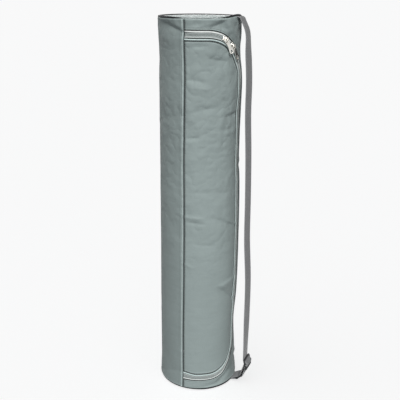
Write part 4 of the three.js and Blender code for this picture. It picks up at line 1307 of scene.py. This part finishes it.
def make_stitching():
    """Rows of stitches: inside the door's hem, beside the zip and down both sides of the seam."""
    bag, zipper = settings("bag_sizes"), settings("zip_sizes")
    shape = BagShape()
    outline = DoorOutline(bag.gap)
    tall = np.linspace(ROW_END, bag.height - ROW_END, LINE_POINTS)
    (hem, hem_rise), (wall, wall_rise), (seam, seam_rise), (lap, lap_rise) = STITCH_ROWS.values()
    lines = [
        shape.place(*outline.whole(-hem), hem_rise),
        shape.place(*outline.whole(zipper.opening + wall), wall_rise),
        shape.place(np.full(LINE_POINTS, seam), tall, seam_rise),
        shape.place(np.full(LINE_POINTS, shape.perimeter - lap), tall, lap_rise),
    ]
    skin = Skin("stitching")
    for line in lines:
        place, way = along_line(line, STITCH_PITCH)
        skin.add_copies(small_bar(*CLOTH_STITCH), frames_on(place, way, outward(place)))
    return dress(skin.build(sewn=False), thread_material(), "cloth")


def make_strap_stitching():
    """The rows of stitches that hold the strap's end."""
    path = StrapPath()
    skin = Skin("strap_stitching")
    side = np.array([path.up[1], -path.up[0]])
    off = path.wrap + path.layer + settings("strap_sizes").thickness / 2
    y = np.linspace(-STRAP_ROW_HALF, STRAP_ROW_HALF, STRAP_ROW_COUNT)
    way = np.tile([0.0, 1.0, 0.0], (STRAP_ROW_COUNT, 1))
    out = np.tile([side[0], 0.0, side[1]], (STRAP_ROW_COUNT, 1))
    for level in STRAP_ROWS:
        x, z = path.middle + side * off + path.up * level
        place = np.stack([np.full(STRAP_ROW_COUNT, x), y, np.full(STRAP_ROW_COUNT, z)], -1)
        skin.add_copies(small_bar(*STRAP_STITCH), frames_on(place, way, out))
    return dress(skin.build(sewn=False), thread_material(), "webbing")


# Materials


def ready(name):
    return bpy.data.materials.get(name)


def new_material(name, roughness, metallic=0.0, specular=0.5, sheen=0.0, sheen_roughness=0.5):
    material = bpy.data.materials.new(name)
    material.use_nodes = True
    shader = material.node_tree.nodes["Principled BSDF"]
    shader.inputs["Roughness"].default_value = roughness
    shader.inputs["Metallic"].default_value = metallic
    shader.inputs["Specular IOR Level"].default_value = specular
    shader.inputs["Sheen Weight"].default_value = sheen
    shader.inputs["Sheen Roughness"].default_value = sheen_roughness
    return material, material.node_tree, shader


def shade(base, factor):
    """A darker or lighter shade of a colour."""
    return [min(1.0, c * factor) for c in base]


def add_node(tree, kind, inputs=None, **values):
    node = tree.nodes.new(kind)
    for name, value in values.items():
        setattr(node, name, value)
    for name, value in (inputs or {}).items():
        if isinstance(value, bpy.types.NodeSocket):
            tree.links.new(value, node.inputs[name])
        else:
            node.inputs[name].default_value = value
    return node


def maths(tree, operation, a, b=0.0, clamp=False):
    node = add_node(tree, "ShaderNodeMath", {0: a, 1: b}, operation=operation, use_clamp=clamp)
    return node.outputs[0]


def blend_colours(tree, share, first, second):
    def full(value):
        return value if isinstance(value, bpy.types.NodeSocket) else (*value[:3], 1.0)

    node = add_node(tree, "ShaderNodeMix", data_type="RGBA")
    for index, value in ((0, share), (6, full(first)), (7, full(second))):
        if isinstance(value, bpy.types.NodeSocket):
            tree.links.new(value, node.inputs[index])
        else:
            node.inputs[index].default_value = value
    return node.outputs[2]


def weighted(tree, *parts):
    """The sum of some values, each times its weight."""
    total = None
    for value, weight in parts:
        part = maths(tree, "MULTIPLY", value, weight)
        total = part if total is None else maths(tree, "ADD", total, part)
    return total


def cloth_place(tree):
    """The place on the cloth in metres, as laid flat."""
    return add_node(tree, "ShaderNodeUVMap", uv_map="Cloth").outputs[0]


def solid_place(tree):
    return add_node(tree, "ShaderNodeNewGeometry").outputs["Position"]


def wear_and_painted_light_of(tree):
    return add_node(tree, "ShaderNodeAttribute", attribute_name="wear_and_painted_light").outputs["Fac"]


def stretched(tree, place, across, up):
    node = add_node(tree, "ShaderNodeMapping", {"Vector": place, "Scale": (across, up, 1.0)})
    return node.outputs[0]


def noise(tree, place, scale, detail=3.0, roughness=0.5):
    inputs = {"Vector": place, "Scale": scale, "Detail": detail, "Roughness": roughness}
    return add_node(tree, "ShaderNodeTexNoise", inputs).outputs[0]


def streaks_of(tree, place, across, up, detail=3.0, roughness=0.5):
    """Noise that is drawn out, with its own scale across and up the cloth."""
    return noise(tree, stretched(tree, place, across, up), 1.0, detail, roughness)


def ridges(tree, place, scale, detail, roughness=0.5):
    """Sharp folds where noise crosses its middle."""
    value = noise(tree, place, scale, detail, roughness)
    return maths(tree, "ABSOLUTE", maths(tree, "SUBTRACT", value, 0.5))


def bands(tree, place, pitch, direction):
    """Threads at a pitch in metres."""
    scale = 2 * math.pi / (20 * pitch)
    inputs = {"Vector": place, "Scale": scale}
    node = add_node(tree, "ShaderNodeTexWave", inputs, wave_type="BANDS", bands_direction=direction)
    return node.outputs["Fac"]


def remap(tree, value, low, high, out_low=0.0, out_high=1.0):
    inputs = {"Value": value, 1: low, 2: high, 3: out_low, 4: out_high}
    return add_node(tree, "ShaderNodeMapRange", inputs).outputs[0]


def weave(tree, place, pitch):
    """A plain weave: threads that pass over and under each other."""
    warp = bands(tree, place, pitch, "X")
    weft = bands(tree, place, pitch, "Y")
    return maths(tree, "ABSOLUTE", maths(tree, "SUBTRACT", warp, weft))


def bump(tree, shader, height, distance, strength=1.0, under=None):
    inputs = {"Height": height, "Distance": distance, "Strength": strength}
    if under is not None:
        inputs["Normal"] = under
    node = add_node(tree, "ShaderNodeBump", inputs)
    tree.links.new(node.outputs[0], shader.inputs["Normal"])
    return node.outputs[0]


def paint(tree, shader, base, rough=None):
    tree.links.new(base, shader.inputs["Base Color"])
    if rough is not None:
        tree.links.new(rough, shader.inputs["Roughness"])


def painted_fold_shade(tree, wear_and_painted_light, base):
    """Paints shade on the cloth where its value is below zero, in folds and beside seams."""
    depth = maths(tree, "MULTIPLY", wear_and_painted_light, -PAINTED_FOLD_SHADE, clamp=True)
    return blend_colours(tree, depth, base, PAINTED_FOLD_SHADE_COLOUR)


def woven_cloth(name, dark, light, pitch, roughness, sheen):
    """Coated cloth in two shades, with threads at a pitch, painted highlights and rubbed places, painted
    shade in folds, and crumples.
    """
    if ready(name):
        return ready(name)
    colour = settings("finishes").cloth
    dark, light = shade(colour, dark), shade(colour, light)
    material, tree, shader = new_material(
        name, roughness, specular=0.05, sheen=sheen, sheen_roughness=0.45
    )
    place = cloth_place(tree)
    broad = noise(tree, place, scale=16.0)
    streaks = streaks_of(tree, place, across=14.0, up=150.0, detail=4.0, roughness=0.6)
    fibres = streaks_of(tree, place, across=260.0, up=1500.0, roughness=0.6)
    threads = weave(tree, place, pitch)
    share = weighted(tree, (broad, 0.34), (streaks, 0.3), (fibres, 0.3), (threads, 0.12))
    base = blend_colours(tree, remap(tree, share, 0.28, 0.78), dark, light)
    wear_and_painted_light = wear_and_painted_light_of(tree)
    # Above zero the cloth is lightened: a painted highlight on ridges and folds, and rubbed pale at the ends'
    # rims.
    worn_and_highlit = maths(tree, "MULTIPLY", wear_and_painted_light, remap(tree, streaks, 0.3, 0.7, 0.55, 1.0), clamp=True)
    base = painted_fold_shade(tree, wear_and_painted_light, blend_colours(tree, worn_and_highlit, base, shade(light, 1.7)))
    rough = remap(tree, streaks, 0.2, 0.8, roughness - 0.06, roughness + 0.08)
    paint(tree, shader, base, rough)
    wrinkles = streaks_of(tree, place, across=26.0, up=70.0, detail=4.0, roughness=0.55)
    large = ridges(tree, place, scale=17.0, detail=2.0, roughness=0.45)
    fine = ridges(tree, place, scale=41.0, detail=1.0)
    up = add_node(tree, "ShaderNodeSeparateXYZ", {0: place}).outputs["Y"]
    more_above = remap(tree, up, 0.22, 0.5, 0.25, 1.0)
    crumpled = maths(tree, "MULTIPLY", weighted(tree, (large, 1.0), (fine, 0.45)), more_above)
    folds = bump(tree, shader, wrinkles, distance=0.0012, strength=0.5)
    folds = bump(tree, shader, crumpled, distance=0.009, under=folds)
    bump(tree, shader, threads, distance=0.00006, strength=0.6, under=folds)
    return material


def cloth_material():
    return woven_cloth("Coated cloth", 0.9, 1.12, pitch=0.0007, roughness=0.52, sheen=0.08)


# The hem is painted lighter than the cloth, a painted highlight along its raised fold.
def hem_material():
    return woven_cloth("Hem binding with painted highlight", 1.15, 1.4, pitch=0.0006, roughness=0.5, sheen=0.1)


# The ends are painted lighter than the wall: painted light on the top panel, which faces up to the light.
def end_material():
    return woven_cloth("End panel cloth with painted light", 1.1, 1.35, pitch=0.0007, roughness=0.5, sheen=0.08)


def tape_material():
    if ready("Zip tape"):
        return ready("Zip tape")
    finish = settings("finishes")
    material, tree, shader = new_material("Zip tape", 0.6, specular=0.15, sheen=0.1)
    place = cloth_place(tree)
    ribs = bands(tree, place, 0.0011, "X")
    twill = bands(tree, stretched(tree, place, 1.0, 0.6), 0.0009, "DIAGONAL")
    mottle = streaks_of(tree, place, across=400.0, up=90.0)
    share = weighted(tree, (ribs, 0.4), (mottle, 0.6))
    base = blend_colours(tree, share, shade(finish.tape, 0.8), shade(finish.tape, 1.15))
    wear_and_painted_light = wear_and_painted_light_of(tree)
    # The beads' painted highlight blends towards the bead colour; painted shade darkens the rest.
    rubbed_and_highlit = maths(tree, "MULTIPLY", wear_and_painted_light, 1.0, clamp=True)
    base = painted_fold_shade(tree, wear_and_painted_light, blend_colours(tree, rubbed_and_highlit, base, finish.bead))
    paint(tree, shader, base, remap(tree, rubbed_and_highlit, 0.0, 1.0, 0.62, 0.34))
    bump(tree, shader, weighted(tree, (ribs, 1.0), (twill, 0.5)), distance=0.00007, strength=0.7)
    return material


def teeth_material():
    if ready("Zip teeth"):
        return ready("Zip teeth")
    tape = settings("finishes").tape
    material, tree, shader = new_material("Zip teeth", 0.36)
    speckle = noise(tree, solid_place(tree), scale=900.0, detail=2.0)
    base = blend_colours(tree, remap(tree, speckle, 0.3, 0.7), shade(tape, 0.7), shade(tape, 1.05))
    paint(tree, shader, base, remap(tree, speckle, 0.2, 0.8, 0.3, 0.44))
    bump(tree, shader, speckle, distance=0.00004, strength=0.5)
    return material


def thread_material():
    if ready("Thread"):
        return ready("Thread")
    thread = settings("finishes").thread
    material, tree, shader = new_material("Thread", 0.55, sheen=0.2)
    plies = bands(tree, solid_place(tree), 0.0004, "DIAGONAL")
    paint(tree, shader, blend_colours(tree, plies, shade(thread, 0.8), shade(thread, 1.2)))
    bump(tree, shader, plies, distance=0.00004, strength=0.6)
    return material


def webbing_material():
    if ready("Webbing"):
        return ready("Webbing")
    colour = settings("finishes").webbing
    material, tree, shader = new_material(
        "Webbing", 0.62, specular=0.15, sheen=0.2, sheen_roughness=0.4
    )
    place = cloth_place(tree)
    ribs = bands(tree, place, 0.0024, "X")
    yarns = bands(tree, stretched(tree, place, 0.5, 1.0), 0.0012, "Y")
    broad = streaks_of(tree, place, across=60.0, up=12.0)
    fibres = streaks_of(tree, place, across=1600.0, up=240.0)
    share = weighted(tree, (ribs, 0.3), (yarns, 0.15), (broad, 0.3), (fibres, 0.35))
    base = blend_colours(tree, remap(tree, share, 0.25, 0.85), shade(colour, 0.72), shade(colour, 1.3))
    worn_and_highlit = maths(tree, "MULTIPLY", wear_and_painted_light_of(tree), 0.6)
    base = blend_colours(tree, worn_and_highlit, base, shade(colour, 1.7))
    paint(tree, shader, base, remap(tree, fibres, 0.2, 0.8, 0.52, 0.7))
    bump(tree, shader, weighted(tree, (ribs, 1.0), (yarns, 0.35)), distance=0.00022, strength=0.8)
    return material


def binding_material():
    if ready("Dark binding"):
        return ready("Dark binding")
    colour = settings("finishes").seam
    material, tree, shader = new_material("Dark binding", 0.6, specular=0.1, sheen=0.05)
    place = cloth_place(tree)
    ribs = bands(tree, place, 0.0009, "X")
    mottle = noise(tree, place, scale=300.0)
    share = maths(tree, "MULTIPLY", ribs, mottle)
    base = blend_colours(tree, share, colour, shade(colour, 2.4))
    paint(tree, shader, base, remap(tree, mottle, 0.3, 0.7, 0.5, 0.7))
    bump(tree, shader, ribs, distance=0.00012, strength=0.8)
    return material


def plastic_material():
    if ready("Moulded plastic"):
        return ready("Moulded plastic")
    colour = settings("finishes").plastic
    material, tree, shader = new_material("Moulded plastic", 0.42, specular=0.25)
    place = solid_place(tree)
    grain = noise(tree, place, scale=2600.0, detail=2.0)
    scuffs = noise(tree, place, scale=120.0, detail=4.0, roughness=0.6)
    edges = add_node(tree, "ShaderNodeNewGeometry").outputs["Pointiness"]
    rubbed_and_highlit = remap(tree, edges, 0.5, 0.58, 0.0, 0.8)
    share = maths(tree, "MULTIPLY", rubbed_and_highlit, remap(tree, scuffs, 0.4, 0.7, 0.2, 1.0))
    base = blend_colours(tree, share, colour, shade(colour, 2.2))
    paint(tree, shader, base, remap(tree, scuffs, 0.3, 0.7, 0.36, 0.52))
    bump(tree, shader, grain, distance=0.00003, strength=0.5)
    return material


def metal_material():
    if ready("Plated metal"):
        return ready("Plated metal")
    colour = settings("finishes").metal
    material, tree, shader = new_material("Plated metal", 0.24, metallic=1.0)
    place = solid_place(tree)
    clouds = noise(tree, place, scale=160.0)
    scratches = streaks_of(tree, place, across=1800.0, up=260.0, roughness=0.7)
    base = blend_colours(tree, remap(tree, clouds, 0.3, 0.7), shade(colour, 0.82), colour)
    paint(tree, shader, base, remap(tree, scratches, 0.25, 0.8, 0.16, 0.36))
    bump(tree, shader, scratches, distance=0.00002, strength=0.5)
    return material


# Stage


def mix_shaders(tree, share, first, second):
    return add_node(tree, "ShaderNodeMixShader", {0: share, 1: first, 2: second}).outputs[0]


def make_floor(stage):
    """A pale floor that seems lit evenly to the camera, and is shadowed round the bag."""
    mesh = bpy.data.meshes.new("floor")
    low, high = -FLOOR_HALF, FLOOR_HALF
    corners = [(low, low), (high, low), (high, high), (low, high)]
    mesh.from_pydata([(x, y, -FLOOR_DROP) for x, y in corners], [], [(0, 1, 2, 3)])
    floor = bpy.data.objects.new("floor", mesh)
    bpy.context.scene.collection.objects.link(floor)
    material, tree, shader = new_material("Floor", 0.85, specular=0.0)
    mottle = noise(tree, solid_place(tree), scale=3.0)
    paint(tree, shader, blend_colours(tree, mottle, shade(stage.floor, FLOOR_MOTTLE), stage.floor))
    glow = add_node(tree, "ShaderNodeEmission", {"Strength": stage.floor_glow})
    both = add_node(tree, "ShaderNodeAddShader", {0: shader.outputs[0], 1: glow.outputs[0]})
    path = add_node(tree, "ShaderNodeLightPath")
    seen = maths(tree, "ADD", path.outputs["Is Camera Ray"], path.outputs["Is Glossy Ray"], clamp=True)
    mixed = mix_shaders(tree, seen, shader.outputs[0], both.outputs[0])
    tree.links.new(mixed, tree.nodes["Material Output"].inputs["Surface"])
    mesh.materials.append(material)
    return floor


def make_world(stage):
    """Surroundings that the camera sees white, and that light the bag and are mirrored in it less."""
    world = bpy.data.worlds.new("Studio")
    world.use_nodes = True
    tree = world.node_tree
    tree.nodes.clear()
    seen, lit, mirrored = (
        add_node(tree, "ShaderNodeBackground", {"Color": (*tint, 1), "Strength": power}).outputs[0]
        for tint, power in (
            ((1, 1, 1), stage.backdrop),
            (SKY_COLOUR, stage.sky),
            ((1, 1, 1), stage.reflected),
        )
    )
    path = add_node(tree, "ShaderNodeLightPath").outputs
    unseen = mix_shaders(tree, path["Is Glossy Ray"], lit, mirrored)
    mixed = mix_shaders(tree, path["Is Camera Ray"], unseen, seen)
    add_node(tree, "ShaderNodeOutputWorld", {"Surface": mixed})
    bpy.context.scene.world = world


def add_light(name, kind, power, rotation, receivers):
    light = bpy.data.lights.new(name, kind)
    light.energy = power
    stand = bpy.data.objects.new(name, light)
    stand.rotation_euler = rotation
    bpy.context.scene.collection.objects.link(stand)
    stand.light_linking.receiver_collection = receivers
    return light, stand


def make_lights(stage, floor):
    """The floor's own wide light, and the key light and lamps, which leave the floor out."""
    only_floor = bpy.data.collections.new("lit by the floor light")
    only_floor.objects.link(floor)
    tilt = (math.radians(FLOOR_LIGHT_BACK), math.radians(FLOOR_LIGHT_SIDE), stage.view)
    light, _ = add_light("floor light", "SUN", stage.floor_light, tilt, only_floor)
    light.angle = math.radians(FLOOR_LIGHT_SIZE)
    left_out = bpy.data.collections.new("not lit by the lamps")
    left_out.objects.link(floor)
    tilt = (math.pi / 2 - stage.key_rise, 0, stage.view + stage.key_side)
    light, _ = add_light("key", "SUN", stage.key * stage.lights, tilt, left_out)
    light.angle = stage.key_spread
    light.color = KEY_COLOUR
    for lamp in LAMPS:
        side = stage.view + math.radians(lamp.side)
        place = Vector((lamp.distance * math.sin(side), -lamp.distance * math.cos(side), lamp.height))
        aim = (Vector((0, 0, lamp.aim)) - place).to_track_quat("-Z", "Y").to_euler()
        light, stand = add_light(lamp.name, "AREA", lamp.power * stage.lights, aim, left_out)
        light.shape = "RECTANGLE"
        light.size, light.size_y = lamp.width, lamp.tall
        light.color = lamp.colour
        stand.location = place
        stand.visible_camera = False
    for linked in left_out.collection_objects:
        linked.light_linking.link_state = "EXCLUDE"


def make_camera(stage):
    """The camera at the photograph's angle."""
    lens = bpy.data.cameras.new("camera")
    lens.lens = stage.lens
    lens.sensor_width = SENSOR_WIDTH
    lens.clip_end = VIEW_END
    camera = bpy.data.objects.new("camera", lens)
    forward = Vector((-math.sin(stage.view), math.cos(stage.view), 0))
    right = Vector((math.cos(stage.view), math.sin(stage.view), 0))
    camera.location = -forward * stage.distance + right * stage.offset + Vector((0, 0, stage.camera_height))
    aim = forward * math.cos(stage.pitch) - Vector((0, 0, math.sin(stage.pitch)))
    turn_to = aim.to_track_quat("-Z", "Y").to_matrix()
    camera.rotation_euler = (turn_to @ Matrix.Rotation(stage.roll, 3, "Z")).to_euler()
    bpy.context.scene.collection.objects.link(camera)
    bpy.context.scene.camera = camera


def make_stage():
    """The pale floor, the surroundings, the soft lights and the camera."""
    stage = settings("stage_settings")
    bpy.context.scene.view_settings.view_transform = "Standard"
    floor = make_floor(stage)
    make_world(stage)
    make_lights(stage, floor)
    make_camera(stage)


# Operators and panel


class MATBAG_OT_wall(bpy.types.Operator):
    """Build the cloth tube with its seam, rims and zip opening"""

    bl_idname = "matbag.wall"
    bl_label = "Wall"

    def execute(self, context):
        make_wall()
        return {"FINISHED"}


class MATBAG_OT_door(bpy.types.Operator):
    """Build the door and its raised hem"""

    bl_idname = "matbag.door"
    bl_label = "Door and hem"

    def execute(self, context):
        make_door()
        return {"FINISHED"}


class MATBAG_OT_zip(bpy.types.Operator):
    """Build the zip's tapes and teeth"""

    bl_idname = "matbag.zip"
    bl_label = "Zip"

    def execute(self, context):
        make_zip()
        return {"FINISHED"}


class MATBAG_OT_sliders(bpy.types.Operator):
    """Finish the two zip sliders and their pulls"""

    bl_idname = "matbag.sliders"
    bl_label = "Sliders and pulls"

    def execute(self, context):
        make_sliders()
        return {"FINISHED"}


class MATBAG_OT_ends(bpy.types.Operator):
    """Build the top and base panels and their dark bindings"""

    bl_idname = "matbag.ends"
    bl_label = "Ends"

    def execute(self, context):
        make_ends()
        return {"FINISHED"}


class MATBAG_OT_strap(bpy.types.Operator):
    """Build the carrying strap and its tab"""

    bl_idname = "matbag.strap"
    bl_label = "Strap"

    def execute(self, context):
        make_strap()
        return {"FINISHED"}


class MATBAG_OT_fittings(bpy.types.Operator):
    """Finish the adjuster and the ring"""

    bl_idname = "matbag.fittings"
    bl_label = "Adjuster and ring"

    def execute(self, context):
        make_fittings()
        return {"FINISHED"}


class MATBAG_OT_stitching(bpy.types.Operator):
    """Sew the rows of stitches"""

    bl_idname = "matbag.stitching"
    bl_label = "Stitching"

    def execute(self, context):
        make_stitching()
        make_strap_stitching()
        return {"FINISHED"}


class MATBAG_OT_stage(bpy.types.Operator):
    """Set up the floor, the lights and the camera"""

    bl_idname = "matbag.stage"
    bl_label = "Stage"

    def execute(self, context):
        make_stage()
        return {"FINISHED"}


OPERATORS = [
    MATBAG_OT_wall,
    MATBAG_OT_door,
    MATBAG_OT_zip,
    MATBAG_OT_sliders,
    MATBAG_OT_ends,
    MATBAG_OT_strap,
    MATBAG_OT_fittings,
    MATBAG_OT_stitching,
    MATBAG_OT_stage,
]
GROUPS = {
    "bag_sizes": BagSizes,
    "door_sizes": DoorSizes,
    "zip_sizes": ZipSizes,
    "strap_sizes": StrapSizes,
    "finishes": Finishes,
    "stage_settings": StageSettings,
}


class MATBAG_PT_pieces(bpy.types.Panel):
    """Buttons for the bag's pieces, and its sizes and colours"""

    bl_label = "Mat bag"
    bl_space_type = "VIEW_3D"
    bl_region_type = "UI"
    bl_category = "Mat bag"

    def draw(self, context):
        for operator in OPERATORS:
            self.layout.operator(operator.bl_idname)
        for name in GROUPS:
            box = self.layout.box()
            group = getattr(context.scene, name)
            for key in group.bl_rna.properties.keys():
                if key not in ("rna_type", "name"):
                    box.prop(group, key)


def register():
    for group in GROUPS.values():
        bpy.utils.register_class(group)
    for name, group in GROUPS.items():
        setattr(bpy.types.Scene, name, bpy.props.PointerProperty(type=group))
    for operator in OPERATORS:
        bpy.utils.register_class(operator)
    bpy.utils.register_class(MATBAG_PT_pieces)


def unregister():
    bpy.utils.unregister_class(MATBAG_PT_pieces)
    for operator in reversed(OPERATORS):
        bpy.utils.unregister_class(operator)
    for name in GROUPS:
        delattr(bpy.types.Scene, name)
    for group in GROUPS.values():
        bpy.utils.unregister_class(group)


def main():
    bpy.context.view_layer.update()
    register()
    bpy.ops.matbag.wall()
    bpy.ops.matbag.door()
    bpy.ops.matbag.zip()
    bpy.ops.matbag.sliders()
    bpy.ops.matbag.ends()
    bpy.ops.matbag.strap()
    bpy.ops.matbag.fittings()
    bpy.ops.matbag.stitching()
    bpy.ops.matbag.stage()


if __name__ == "__main__":
    main()
